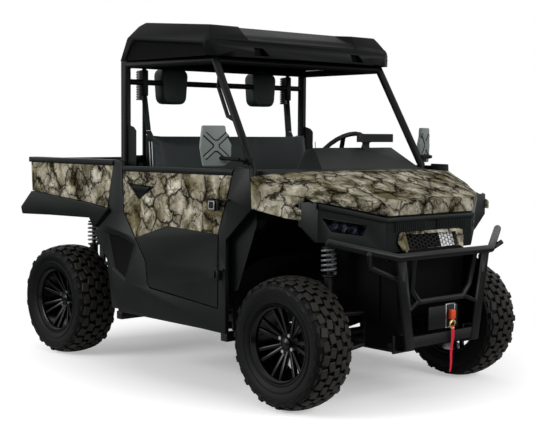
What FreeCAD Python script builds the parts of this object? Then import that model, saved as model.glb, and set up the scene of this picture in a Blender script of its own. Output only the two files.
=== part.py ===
import FreeCAD, Part
import math
import os

V = FreeCAD.Vector

# A side-by-side utility vehicle: open cab for three under a moulded roof,
# tipping bed with a tailgate, sprung wheels, brush guard and winch.
# +X is forward, +Y the driver's left, +Z up, millimetres, ground at Z 0.

# Sizes over all
WHEELBASE = 1984.0
FRONT_OVERHANG = 450.0
REAR_OVERHANG = 400.0
LENGTH = WHEELBASE + FRONT_OVERHANG + REAR_OVERHANG
FRONT_X = LENGTH / 2
REAR_X = -LENGTH / 2
FRONT_AXLE_X = FRONT_X - FRONT_OVERHANG
REAR_AXLE_X = REAR_X + REAR_OVERHANG
ROOF_TOP_Z = 1963.0
ROOF_H = 213.0
ROOF_LOW_Z = ROOF_TOP_Z - ROOF_H

# Gaps
SEAT_GAP = 0.3
PANEL_GAP = 6.0
RUN_CLEARANCE = 0.05

# Round bars and rods are drawn with flat facets
BAR_SIDES = 8
THIN_SIDES = 6
BAR_FLAT = math.cos(math.pi / BAR_SIDES)
PIN_SIDES = 12

# Wheels
TYRE_R = 330.0
AXLE_Z = TYRE_R
FRONT_TYRE_W = 235.0
REAR_TYRE_W = 265.0
FRONT_TYRE_OUT_Y = 765.0
REAR_TYRE_OUT_Y = 777.0
FRONT_WHEEL_Y = FRONT_TYRE_OUT_Y - FRONT_TYRE_W / 2
REAR_WHEEL_Y = REAR_TYRE_OUT_Y - REAR_TYRE_W / 2
WHEEL_SIDES = 24
RIM_R = 200.0
RIM_INSET = 20.0
BARREL_WALL = 14.0
TREAD_DEPTH = 14.0
SHOULDER_DROP = 20.0
LUGS = 12
LUG_REACH = 46.0
LUG_SHARE = 0.5
HUB_R = 58.0
HUB_INNER_Y = -6.0
HUB_OUTER_Y = 42.0
SPINDLE_R = 15.0
SPINDLE_END_Y = 30.0
SPOKES = 7
SPOKE_W = 16.0
SPOKE_ANGLE = 9.0

# Knuckles and arms
KINGPIN_Y = 575.0
KNUCKLE_HALF = 22.0
KNUCKLE_LOW_Z = AXLE_Z - 94.0
KNUCKLE_TOP_Z = AXLE_Z + 94.0
FLANGE_R = 42.0
BALL_STUD_R = 8.0
ARM_BOSS_R = 20.0
ARM_BOSS_H = 40.0
ARM_TUBE_R = 13.0
ARM_SPREAD = 175.0
ARM_CROSS_R = 10.0
STEER_ARM = 80.0
STEER_ARM_Z = AXLE_Z + FLANGE_R
STEER_ARM_T = 12.0
STEER_EYE_R = 16.0
RACK_R = 9.0
TIE_END_H = 20.0
RACK_Z = STEER_ARM_Z + STEER_ARM_T + 1.0 + TIE_END_H / 2
RACK_X = FRONT_AXLE_X - STEER_ARM
RACK_HALF = 230.0

# Chassis rails
RAIL_Y0 = 255.0
RAIL_Y1 = 305.0
RAIL_Z0 = 290.0
RAIL_Z1 = 335.0
RAIL_REAR_X = REAR_X + 167.0
RAIL_FRONT_X = FRONT_X - 97.0
SIDE_PLATE_T = 20.0
CROSS_W = 40.0
TOWER_Z = 520.0
SHOCK_TOP_Z = 835.0
SHOCK_OFFSET = 44.0
FRONT_SHOCK_X = FRONT_AXLE_X + SHOCK_OFFSET
REAR_SHOCK_X = REAR_AXLE_X - SHOCK_OFFSET
SHOCK_Y = 440.0
SHOCK_R = 18.0
SPRING_R = 42.0
SPRING_TURNS = 5
TOWER_BAR_R = 20.0

# Body sides and doors
SIDE_IN_Y = 743.0
SIDE_OUT_Y = 768.0
DOOR_IN_Y = 728.0
DOOR_SKIN_Y = 753.0
HINGE_X = FRONT_AXLE_X - 401.0
HINGE_Y = SIDE_OUT_Y + 18.0
HINGE_R = 10.0
HINGE_PIN_R = 5.0
HINGE_ZS = (635.0, 988.0)
HINGE_FEET_X = (HINGE_X + 20.0, HINGE_X + 54.0)
HINGE_H = 50.0
LEAF_T = 10.0

# Cage
CAGE_R = 22.0
A_BASE = (FRONT_AXLE_X - 291.0, 650.0, 1176.0)
A_TOP = (FRONT_AXLE_X - 617.0, 630.0, ROOF_LOW_Z - 12.0)
B_X = REAR_AXLE_X + 655.0
B_Y = 690.0
B_R = 28.0
LEG_X = FRONT_AXLE_X - 427.0
LEG_Y = 640.0
BELT_POST_Y = 562.0
BELT_POST_R = 13.0

ROOF_RAIL_Z = ROOF_LOW_Z - CAGE_R - SEAT_GAP

# Cab
FLOOR_Z = 440.0
FLOOR_T = 12.0
SEAT_Z = 760.0
SEAT_REAR_X = B_X + 47.0
SEAT_HALF = 640.0
CUSHION_TOP_Z = SEAT_Z + 130.0
BACK_TOP_Z = ROOF_LOW_Z - 400.0
HEADREST_W = 190.0
HEADREST_Y = 351.0
HEADREST_Z = (ROOF_LOW_Z - 231.0, ROOF_RAIL_Z - CAGE_R)
HEADREST_T = 85.0
HEAD_WRAP = 12.0
HEAD_BAR_Z = ROOF_LOW_Z - 115.0
WAIST_BAR_Z = 1205.0

# Steering column
COLUMN_TILT = 45.0
WHEEL_CENTRE = (FRONT_AXLE_X - 677.0, 380.0, 1236.0)
STEERING_WHEEL_R = 165.0
GRIP_R = 14.0
COLUMN_R = 26.0
COLUMN_TOP = 40.0
COLUMN_LENGTH = 220.0

# Dash and the hood's hinge line
DASH_HALF = 615.0
FIREWALL_X = FRONT_AXLE_X - 234.0
FIREWALL_TOP_Z = 990.0
HOOD_HINGE_X = FRONT_AXLE_X - 184.0
HOOD_HINGE_Z = 1136.0
HOOD_EAR_Y = 380.0
HOOD_EAR_T = 8.0
HOOD_BARREL_W = 30.0
HOOD_PIN_R = 4.0

# Front body: the plan of its nose and the height of its crown
NOSE_X = FRONT_AXLE_X + 332.0
NOSE_HALF = 336.0
BROW_X = FRONT_AXLE_X + 139.0
BROW_Y = 614.0
CHEEK_X = FRONT_AXLE_X + 131.0
CHEEK_Y = 735.0
NOSE_T = 25.0
HOOD_T = 16.0
HOOD_HALF = 570.0
LIP_Z = 953.0
BROW_Z = 1024.0
NOSE_LOW_Z = 775.0
BROW_LOW_Z = 829.0
CHEEK_LOW_Z = 930.0
LIP_H = 22.0
LIP_PROUD = 7.0
CROWN = ((-192, 1160, 8), (-55, 1150, 50), (68, 1112, 85), (161, 1079, 86), (248, 1050, 86), (323, 1030, 86),
         (360, 1020, 86))
CROWN_YS = (0, 250, 450, 570, 640, 700, 745)
GRILLE_Z = (785.0, 875.0)
GRILLE_HALF = (215.0, 195.0)

# Bed
BED_FRONT_X = REAR_AXLE_X + 622.0
BED_REAR_X = REAR_AXLE_X - 245.0
BED_FLOOR_Z0 = 870.0
BED_FLOOR_Z1 = 900.0
BED_TOP_Z = 1195.0
BED_IN_Y = 700.0
RAIL_CAP_T = 32.0
BED_PIVOT_X = REAR_AXLE_X - 163.0
BED_PIVOT_Z = BED_FLOOR_Z0 - 65.0
BED_PIN_R = 8.0
TAILGATE_T = 28.0
TAILGATE_HALF = 690.0
TAILGATE_GAP = 8.0
TAILGATE_X = BED_REAR_X - TAILGATE_GAP - TAILGATE_T / 2
TAILGATE_PIVOT_Z = BED_FLOOR_Z1 + 12.0
TAILGATE_PIN_R = 6.0

# Guard and winch
BUMPER_R = 20.0
BRACE_R = 14.0
GUARD_TIP = (FRONT_AXLE_X + 246.0, 665.0, 843.0)
GUARD_CORNER = (FRONT_X - BUMPER_R, 361.0, 765.0)
RECEIVER_Z = 395.0
RECEIVER_HALF = 38.0
RECEIVER_BORE = 25.4
HITCH_PIN_R = 8.0
FAIRLEAD_X = FRONT_X - 45.0
FAIRLEAD_HALF = 112.0
FAIRLEAD_Z = (386.0, 500.0)
FAIRLEAD_T = 12.0
HOOK_Y = 55.0
HOOK_Z = 448.0


def solid_of(shape):
    return shape.Solids[0] if len(shape.Solids) == 1 else shape


def fuse(shapes):
    first, rest = shapes[0], shapes[1:]
    return solid_of(first.fuse(rest).removeSplitter()) if rest else first


def cut(shape, tools):
    return solid_of(shape.cut(tools).removeSplitter())


def mirrored(shape):
    return shape.mirror(V(0, 0, 0), V(0, 1, 0))


def both(shapes):
    return shapes + [mirrored(s) for s in shapes]


def box(x0, x1, y0, y1, z0, z1):
    return Part.makeBox(x1 - x0, y1 - y0, z1 - z0, V(x0, y0, z0))


def ahead(points):
    """Outline points given from the front axle."""
    return [(FRONT_AXLE_X + x, z) for x, z in points]


def aft(points):
    """Outline points given from the rear axle."""
    return [(REAR_AXLE_X + x, z) for x, z in points]


def symmetric(points):
    """An outline of (y, z) points on the left, carried on to the right."""
    return points + [(-y, z) for y, z in reversed(points)]


def polygon_face(points):
    return Part.Face(Part.makePolygon(points + points[:1]))


def side_prism(points, y0, y1):
    """An outline in the XZ plane, given thickness along Y."""
    return polygon_face([V(x, y0, z) for x, z in points]).extrude(V(0, y1 - y0, 0))


def plan_prism(points, z0, z1):
    """An outline in the XY plane, given height along Z."""
    return polygon_face([V(x, y, z0) for x, y in points]).extrude(V(0, 0, z1 - z0))


def front_prism(points, x0, x1):
    """An outline in the YZ plane, given length along X."""
    return polygon_face([V(x0, y, z) for y, z in points]).extrude(V(x1 - x0, 0, 0))


def round_bore(start, end, radius):
    """A true cylinder, for the bore that a stranger's pin goes through."""
    start, end = V(*start), V(*end)
    line = end - start
    return Part.makeCylinder(radius, line.Length, start, line)


def closed(faces):
    solid = Part.Solid(Part.makeShell(faces))
    if solid.Volume < 0:
        solid.reverse()
    return solid


def tube(points, radius, sides=BAR_SIDES):
    """A bar along straight runs with flat facets, mitred where they meet."""
    corners = [V(*p) for p in points]
    runs = [(b - a).normalize() for a, b in zip(corners, corners[1:])]
    planes = [runs[0]] + [(a + b).normalize() for a, b in zip(runs, runs[1:])] + [runs[-1]]
    side = runs[0].cross(V(0, 0, 1) if abs(runs[0].z) < 0.9 else V(1, 0, 0)).normalize()
    up = side.cross(runs[0])
    angles = [2 * math.pi * (k + 0.5) / sides for k in range(sides)]
    rings = [[corners[0] + (side * math.cos(a) + up * math.sin(a)) * radius for a in angles]]
    for run, corner, plane in zip(runs, corners[1:], planes[1:]):
        rings.append([p + run * ((corner - p).dot(plane) / run.dot(plane)) for p in rings[-1]])
    faces = [polygon_face(rings[0]), polygon_face(rings[-1])]
    for low, high in zip(rings, rings[1:]):
        for k in range(sides):
            n = (k + 1) % sides
            faces.append(polygon_face([low[k], low[n], high[n], high[k]]))
    return closed(faces)


def rod(start, end, radius, sides=BAR_SIDES):
    return tube([start, end], radius, sides)


def pin(start, end, radius):
    return rod(start, end, radius, PIN_SIDES)


def bore(start, end, radius):
    """The hole for a pin: its flats stand clear of the pin's corners at every angle."""
    return rod(start, end, (radius + RUN_CLEARANCE) / math.cos(math.pi / PIN_SIDES), PIN_SIDES)


def facet_ring(profile, sides):
    """A closed profile of radius and Y turned about the Y axis in flat facets."""
    def corner(k, radius, y):
        angle = 2 * math.pi * (k % sides) / sides
        return V(radius * math.cos(angle), y, radius * math.sin(angle))
    faces = []
    count = len(profile)
    for k in range(sides):
        for j in range(count):
            (r0, y0), (r1, y1) = profile[j], profile[(j + 1) % count]
            faces.append(polygon_face([corner(k, r0, y0), corner(k, r1, y1), corner(k + 1, r1, y1),
                                       corner(k + 1, r0, y0)]))
    return closed(faces)


def moved(shape, x, y, z):
    copy = shape.copy()
    copy.translate(V(x, y, z))
    return copy


def turned(shape, angle, axis=V(0, 1, 0)):
    copy = shape.copy()
    copy.rotate(V(0, 0, 0), axis, angle)
    return copy


def save(name, shapes):
    shape = shapes[0] if len(shapes) == 1 else Part.Compound(shapes)
    shape.exportStep("parts/%s.step" % name)


# Wheels: a tyre with blocks on both shoulders, on a black alloy rim with deep-set spokes

def lug(half):
    """One shoulder block, wrapped from the crown down the side wall."""
    width = 2 * math.pi * TYRE_R / LUGS * LUG_SHARE
    top = math.sqrt(TYRE_R ** 2 - (width / 2) ** 2)
    floor = TYRE_R - TREAD_DEPTH - SHOULDER_DROP
    outline = [(half - LUG_REACH, floor), (half - LUG_REACH, top), (half - 18, top - 3), (half, top - 30),
               (half - 9, floor - 28)]
    face = polygon_face([V(-width / 2, y, r) for y, r in outline])
    return face.extrude(V(width, 0, 0))


def tyre(width):
    """Carcass and crown in one turned profile, with a staggered row of lugs fused on each shoulder."""
    half = width / 2
    seat = half - RIM_INSET
    left = [(RIM_R + SEAT_GAP, seat), (RIM_R + 26, half - 5), (TYRE_R - 48, half - 5),
            (TYRE_R - TREAD_DEPTH - 4, half - 26), (TYRE_R, half - LUG_REACH - 14)]
    profile = left + [(r, -y) for r, y in reversed(left)]
    pieces = [facet_ring(profile, WHEEL_SIDES)]
    for k in range(LUGS):
        angle = 360.0 * k / LUGS
        pieces.append(turned(lug(half), angle))
        pieces.append(turned(mirrored(lug(half)), angle + 180.0 / LUGS))
    return fuse(pieces)


def spoke(inner, half, lean):
    """One leg of a pair, from the hub out to the barrel, leaning away from its twin."""
    leg = polygon_face([V(HUB_R - 12, HUB_OUTER_Y - 4, 0), V(inner + 3, half - 30, 0), V(inner + 3, half - 58, 0),
                        V(HUB_R - 12, HUB_OUTER_Y - 34, 0)]).extrude(V(0, 0, SPOKE_W))
    return turned(moved(leg, 0, 0, -SPOKE_W / 2), lean)


def rim(width):
    half = width / 2 - RIM_INSET
    inner = RIM_R - BARREL_WALL
    barrel = facet_ring([(RIM_R, -half), (RIM_R, half), (inner, half - 14), (inner, -half)], WHEEL_SIDES)
    pieces = [barrel, rod((0, HUB_INNER_Y, 0), (0, HUB_OUTER_Y, 0), HUB_R, PIN_SIDES)]
    for k in range(SPOKES):
        for lean in (-SPOKE_ANGLE, SPOKE_ANGLE):
            pieces.append(spoke(inner, half, 360 * k / SPOKES + lean))
    return cut(fuse(pieces), [bore((0, HUB_INNER_Y - 1, 0), (0, SPINDLE_END_Y + 2, 0), SPINDLE_R)])


def save_wheels():
    places = (("front", FRONT_AXLE_X, FRONT_WHEEL_Y, FRONT_TYRE_W),
              ("rear", REAR_AXLE_X, REAR_WHEEL_Y, REAR_TYRE_W))
    for end, x, y, width in places:
        left_tyre = moved(tyre(width), x, y, AXLE_Z)
        left_rim = moved(rim(width), x, y, AXLE_Z)
        save("tyre_%s_left" % end, [left_tyre])
        save("tyre_%s_right" % end, [mirrored(left_tyre)])
        save("rim_%s_left" % end, [left_rim])
        save("rim_%s_right" % end, [mirrored(left_rim)])


# Knuckles: an upright with ball studs, a spindle and a steering arm

def upright(axle_x, wheel_y):
    post = box(axle_x - KNUCKLE_HALF, axle_x + KNUCKLE_HALF, KINGPIN_Y - KNUCKLE_HALF,
               KINGPIN_Y + KNUCKLE_HALF, KNUCKLE_LOW_Z, KNUCKLE_TOP_Z)
    flange_end = wheel_y + HUB_INNER_Y - 2
    flange = rod((axle_x, KINGPIN_Y + KNUCKLE_HALF - 4, AXLE_Z), (axle_x, flange_end, AXLE_Z), FLANGE_R)
    spindle = pin((axle_x, KINGPIN_Y, AXLE_Z), (axle_x, wheel_y + SPINDLE_END_Y, AXLE_Z), SPINDLE_R)
    return [post, flange, spindle]


def knuckle():
    x = FRONT_AXLE_X
    eye_x = x - STEER_ARM
    top_z = STEER_ARM_Z + STEER_ARM_T
    stud_low = pin((x, KINGPIN_Y, KNUCKLE_LOW_Z - ARM_BOSS_H), (x, KINGPIN_Y, KNUCKLE_LOW_Z + 5), BALL_STUD_R)
    stud_top = pin((x, KINGPIN_Y, KNUCKLE_TOP_Z - 5), (x, KINGPIN_Y, KNUCKLE_TOP_Z + ARM_BOSS_H), BALL_STUD_R)
    arm = box(eye_x, x, KINGPIN_Y - 14, KINGPIN_Y + 14, STEER_ARM_Z, top_z)
    eye = rod((eye_x, KINGPIN_Y, STEER_ARM_Z), (eye_x, KINGPIN_Y, top_z), STEER_EYE_R)
    return fuse(upright(x, FRONT_WHEEL_Y) + [stud_low, stud_top, arm, eye])


def save_knuckles():
    left = knuckle()
    save("knuckle_left", [left])
    save("knuckle_right", [mirrored(left)])


# Suspension: a wishbone above and below each upright, seated on the rails

LOW_ARM_IN_Z = (RAIL_Z0 + RAIL_Z1) / 2
LOW_BOSS_Z = KNUCKLE_LOW_Z - SEAT_GAP - ARM_BOSS_H
LOW_ARM_OUT_Z = LOW_BOSS_Z + ARM_TUBE_R + 3
TOP_ARM_IN_Z = TOWER_Z - 52.0
TOP_BOSS_Z = KNUCKLE_TOP_Z + SEAT_GAP
TOP_ARM_OUT_Z = TOP_BOSS_Z + ARM_BOSS_H - ARM_TUBE_R - 3
ARM_SHARE = (SHOCK_Y - RAIL_Y1) / (KINGPIN_Y - RAIL_Y1)
SHOCK_BAR_Z = LOW_ARM_IN_Z + (LOW_ARM_OUT_Z - LOW_ARM_IN_Z) * ARM_SHARE
SHOCK_LOW_Z = SHOCK_BAR_Z + ARM_CROSS_R + SEAT_GAP


def wishbone(axle_x, inner_z, boss_z0, outer_z):
    legs = [rod((axle_x + s * ARM_SPREAD, RAIL_Y1 - 8, inner_z), (axle_x + s * 6, KINGPIN_Y - 6, outer_z), ARM_TUBE_R,
                THIN_SIDES) for s in (-1, 1)]
    boss = rod((axle_x, KINGPIN_Y, boss_z0), (axle_x, KINGPIN_Y, boss_z0 + ARM_BOSS_H), ARM_BOSS_R)
    reach = ARM_SPREAD + 3 * ARM_TUBE_R
    trim = box(axle_x - reach, axle_x + reach, RAIL_Y1 - 50, RAIL_Y1 + SEAT_GAP, inner_z - 60, inner_z + 60)
    return cut(fuse(legs + [boss]), [trim])


def low_wishbone(axle_x):
    """The lower arm, with a bar across its legs that carries the shock."""
    arm = wishbone(axle_x, LOW_ARM_IN_Z, LOW_BOSS_Z, LOW_ARM_OUT_Z)
    reach = ARM_SPREAD * (1 - ARM_SHARE) + 2
    bar = rod((axle_x - reach, SHOCK_Y, SHOCK_BAR_Z), (axle_x + reach, SHOCK_Y, SHOCK_BAR_Z), ARM_CROSS_R, THIN_SIDES)
    return fuse([arm, bar])


def top_wishbone(axle_x):
    return wishbone(axle_x, TOP_ARM_IN_Z, TOP_BOSS_Z, TOP_ARM_OUT_Z)


def front_wishbones():
    hole = bore((FRONT_AXLE_X, KINGPIN_Y, LOW_BOSS_Z - 5), (FRONT_AXLE_X, KINGPIN_Y, TOP_BOSS_Z + ARM_BOSS_H + 5),
                BALL_STUD_R)
    return [cut(low_wishbone(FRONT_AXLE_X), [hole]), cut(top_wishbone(FRONT_AXLE_X), [hole])]


def rear_corner():
    """Both arms and the fixed upright between them, each seated on the next."""
    return [low_wishbone(REAR_AXLE_X), top_wishbone(REAR_AXLE_X), fuse(upright(REAR_AXLE_X, REAR_WHEEL_Y))]


def save_suspension():
    save("suspension_arms", both(front_wishbones() + rear_corner()))


def shock(x):
    """Damper body, a spring drawn as turned ridges, and the eye under the tower bar."""
    top_z = SHOCK_TOP_Z - TOWER_BAR_R * BAR_FLAT - SEAT_GAP
    spring_top = top_z - 25
    pitch = (spring_top - TOWER_Z) / SPRING_TURNS
    profile = [(SHOCK_R / 2, spring_top), (SHOCK_R / 2, TOWER_Z), (SHOCK_R + 4, TOWER_Z)]
    for k in range(SPRING_TURNS):
        z = TOWER_Z + k * pitch
        profile += [(SPRING_R, z + 0.35 * pitch), (SPRING_R - 14, z + 0.8 * pitch)]
    profile.append((SHOCK_R + 4, spring_top))
    spring = turned(facet_ring(profile, BAR_SIDES), 90, V(1, 0, 0))
    body = rod((0, 0, SHOCK_LOW_Z), (0, 0, TOWER_Z + 40), SHOCK_R)
    eye = rod((0, 0, spring_top - 5), (0, 0, top_z), SHOCK_R - 4)
    return moved(fuse([body, spring, eye]), x, SHOCK_Y, 0)


def save_shocks():
    save("shocks", both([shock(FRONT_SHOCK_X), shock(REAR_SHOCK_X)]))


# Frame: two side frames, cross members and shock bars seated between them

TOWER_POST_W = 44.0
POST_OVERLAP = 5.0
OUTRIGGER_W = 50.0
NOSE_INNER_X = NOSE_X - 33.0
NOSE_POST_X = NOSE_INNER_X - SEAT_GAP
BED_REST_X = (REAR_AXLE_X + 517.0, REAR_AXLE_X + 557.0)
CROSS_XS = (RAIL_REAR_X, REAR_AXLE_X - 103.0, REAR_AXLE_X + 97.0, B_X + 262.0, FRONT_AXLE_X - 667.0,
            RACK_X - 20.0, FRONT_AXLE_X + 33.0, FRONT_AXLE_X + 233.0)


def tower(axle_x, shock_x):
    """Two posts and a beam that carry the arms, and the post under the shock bar."""
    y0, y1 = RAIL_Y1 - SIDE_PLATE_T, RAIL_Y1
    half = TOWER_POST_W / 2
    posts = [box(axle_x + s * ARM_SPREAD - half, axle_x + s * ARM_SPREAD + half, y0, y1, RAIL_Z1 - POST_OVERLAP, TOWER_Z)
             for s in (-1, 1)]
    beam = box(axle_x - ARM_SPREAD - half, axle_x + ARM_SPREAD + half, y0, y1, TOWER_Z - half, TOWER_Z)
    top_z = SHOCK_TOP_Z - TOWER_BAR_R * BAR_FLAT - SEAT_GAP
    return posts + [beam, box(shock_x - half, shock_x + half, y0, y1, TOWER_Z - POST_OVERLAP, top_z)]


def bed_post():
    half = TOWER_POST_W / 2
    plate = box(BED_PIVOT_X - half, BED_PIVOT_X + half, RAIL_Y1 - SIDE_PLATE_T, RAIL_Y1, RAIL_Z1 - POST_OVERLAP,
                BED_PIVOT_Z + half)
    stub = pin((BED_PIVOT_X, RAIL_Y0 + 5, BED_PIVOT_Z), (BED_PIVOT_X, RAIL_Y1, BED_PIVOT_Z), BED_PIN_R)
    return [plate, stub]


def side_frame():
    rail = box(RAIL_REAR_X, RAIL_FRONT_X, RAIL_Y0, RAIL_Y1, RAIL_Z0, RAIL_Z1)
    nose_post = box(NOSE_POST_X - 20, NOSE_POST_X, RAIL_Y0 + 7, RAIL_Y1 - 15, RAIL_Z1 - POST_OVERLAP, LIP_Z - 50)
    rest_post = box(BED_REST_X[0], BED_REST_X[1], RAIL_Y0, RAIL_Y1 - 1, RAIL_Z1 - POST_OVERLAP,
                    BED_FLOOR_Z0 - CROSS_W - SEAT_GAP)
    towers = tower(FRONT_AXLE_X, FRONT_SHOCK_X) + tower(REAR_AXLE_X, REAR_SHOCK_X)
    return fuse([rail, nose_post, rest_post] + towers + bed_post())


def cross_members():
    half = RAIL_Y0 - SEAT_GAP
    bars = [box(x, x + CROSS_W, -half, half, RAIL_Z0, RAIL_Z1) for x in CROSS_XS]
    bars.append(box(BED_REST_X[0], BED_REST_X[1], -RAIL_Y1, RAIL_Y1, BED_FLOOR_Z0 - CROSS_W, BED_FLOOR_Z0 - SEAT_GAP))
    for x in (FRONT_SHOCK_X, REAR_SHOCK_X):
        bars.append(rod((x, -SHOCK_Y - 25, SHOCK_TOP_Z), (x, SHOCK_Y + 25, SHOCK_TOP_Z), TOWER_BAR_R))
    return bars


def outriggers():
    """Stubs from the rails to the rockers, under the rear pillar and the door's front edge."""
    half = OUTRIGGER_W / 2
    return both([box(x - half, x + half, RAIL_Y1 + SEAT_GAP, SIDE_IN_Y - 3, RAIL_Z0, RAIL_Z1)
                 for x in (B_X, FRONT_AXLE_X - 407.0)])


def receiver():
    """A square tube for a hitch, under a brace across the ends of the rails."""
    half = RECEIVER_BORE
    pin_x = REAR_X + 60
    outer = box(REAR_X, RAIL_REAR_X - SEAT_GAP, -RECEIVER_HALF, RECEIVER_HALF, RECEIVER_Z - RECEIVER_HALF,
                RECEIVER_Z + RECEIVER_HALF)
    inner = box(REAR_X - 5, RAIL_REAR_X - 10, -half, half, RECEIVER_Z - half, RECEIVER_Z + half)
    cross = round_bore((pin_x, -2 * RECEIVER_HALF, RECEIVER_Z), (pin_x, 2 * RECEIVER_HALF, RECEIVER_Z), HITCH_PIN_R)
    brace = box(RAIL_REAR_X, RAIL_REAR_X + OUTRIGGER_W, -RAIL_Y1, RAIL_Y1, RAIL_Z1 + SEAT_GAP, RECEIVER_Z + RECEIVER_HALF)
    return [cut(outer, [inner, cross]), brace]


def frame():
    return both([side_frame()]) + cross_members() + outriggers() + receiver()


# Driveline: motor and axle block behind, differential in front, half shafts

SHAFT_R = 12.0
BOOT_R = 26.0
BOOT_L = 35.0
BLOCK_GAP = 1.0
SWING_CLEARANCE = 7.0
REAR_BLOCK = (-130.0, 150.0, 200.0, 560.0, 395.0)
FRONT_BLOCK = (-45.0, 75.0, 95.0, 470.0, 400.0)


def axle_drive(axle_x, sizes):
    """The block on the cross members, and a shaft with a boot on each side that end clear of the turning knuckle."""
    x0, x1, half, top_z, out_z = sizes
    block = box(axle_x + x0, axle_x + x1, -half, half, RAIL_Z1 + SEAT_GAP, top_z)
    end_y = KINGPIN_Y - KNUCKLE_HALF * math.sqrt(2) - SWING_CLEARANCE
    start = V(axle_x, half + SEAT_GAP, out_z)
    along = (V(axle_x, end_y, AXLE_Z + 4) - start).normalize()
    start = start + along * BLOCK_GAP
    boot_end = start + along * ((end_y - start.y) / along.y - BOOT_R * 0.2)
    boot_start = boot_end - along * BOOT_L
    shaft = rod(tuple(start), tuple(boot_start - along * SEAT_GAP), SHAFT_R)
    boot = rod(tuple(boot_start), tuple(boot_end), BOOT_R)
    return [block] + both([shaft, boot])


def driveline():
    return axle_drive(REAR_AXLE_X, REAR_BLOCK) + axle_drive(FRONT_AXLE_X, FRONT_BLOCK)


# Steering: rack housing with a sliding bar, column and wheel

def along_column(distance):
    angle = math.radians(COLUMN_TILT)
    x, y, z = WHEEL_CENTRE
    return (x + distance * math.sin(angle), y, z - distance * math.cos(angle))


def rack_housing():
    shell = rod((RACK_X, -RACK_HALF, RACK_Z), (RACK_X, RACK_HALF, RACK_Z), 26)
    hole = bore((RACK_X, -RACK_HALF - 5, RACK_Z), (RACK_X, RACK_HALF + 5, RACK_Z), RACK_R)
    foot = box(RACK_X - 17, RACK_X + 17, -60, 60, RAIL_Z1 + SEAT_GAP, RACK_Z - 12)
    return cut(fuse([shell, foot]), [hole])


def rack_bar():
    """The rack and both tie rods as one bar, with the ball joints' ends above the steering arms."""
    half = TIE_END_H / 2
    bar = pin((RACK_X, -KINGPIN_Y, RACK_Z), (RACK_X, KINGPIN_Y, RACK_Z), RACK_R)
    ends = both([rod((RACK_X, KINGPIN_Y, RACK_Z - half), (RACK_X, KINGPIN_Y, RACK_Z + half), 15)])
    return fuse([bar] + ends)


def column():
    return rod(along_column(COLUMN_TOP), along_column(COLUMN_TOP + COLUMN_LENGTH), COLUMN_R)


def steering_wheel():
    grip = [(STEERING_WHEEL_R + GRIP_R * math.cos(math.radians(a)), GRIP_R * math.sin(math.radians(a)))
            for a in range(0, 360, 60)]
    pieces = [turned(facet_ring(grip, WHEEL_SIDES), 90, V(1, 0, 0)), rod((0, 0, -15), (0, 0, 15), 36)]
    for angle in (90, 210, 330):
        pieces.append(turned(box(25, STEERING_WHEEL_R, -14, 14, -6, 6), angle, V(0, 0, 1)))
    pieces.append(rod((0, 0, SEAT_GAP - COLUMN_TOP), (0, 0, -10), 12))
    return moved(turned(fuse(pieces), -COLUMN_TILT), *WHEEL_CENTRE)


# Cab: floor, toe board, rear wall, dash, seats

WALL_X = B_X + 17.0
TOE_X = FRONT_AXLE_X - 419.0
CAB_HALF = LEG_Y - CAGE_R - SEAT_GAP - 2


def cab_floor():
    """A tub of one thickness: rear wall, floor, sloping toe board and firewall, on three legs across the rails."""
    t = FLOOR_T
    low, toe = FLOOR_Z, TOE_X
    outline = [(WALL_X, low), (toe, low), (toe + 14, low + 250), (FIREWALL_X + t, 900), (FIREWALL_X + t, FIREWALL_TOP_Z),
               (FIREWALL_X, FIREWALL_TOP_Z), (FIREWALL_X, 905), (toe, low + 256), (toe - t, low + t),
               (WALL_X + t, low + t), (WALL_X + t, 1180), (WALL_X, 1180)]
    tub = side_prism(outline, -CAB_HALF, CAB_HALF)
    legs = [box(x, x + CROSS_W, -RAIL_Y1, RAIL_Y1, RAIL_Z1 + SEAT_GAP, FLOOR_Z + 5)
            for x in (WALL_X + 25, FRONT_AXLE_X - 967, TOE_X - 128)]
    sills = both([box(WALL_X + 25, LEG_X - CAGE_R - 10, CAB_HALF - 5, DOOR_IN_Y - 8, FLOOR_Z, FLOOR_Z + t)])
    return fuse([tub] + legs + sills)


def dash_cowl():
    """The raised cowl before the driver, narrower at its top, with the display on a post."""
    outline = ahead([(-462, 1150), (-467, 1262), (-407, 1275), (-267, 1164), (-262, 1150)])
    cowl = side_prism(outline, -200, DASH_HALF - 3)
    taper = front_prism([(-200, 1140), (-100, 1285), (510, 1285), (DASH_HALF, 1140)], 0, FRONT_X)
    x = FRONT_AXLE_X - 402
    display = box(x - 20, x + 20, 240, 510, 1305, 1352)
    post = box(x - 12, x + 12, 280, 320, 1255, 1310)
    return [solid_of(cowl.common(taper)), display, post]


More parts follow.
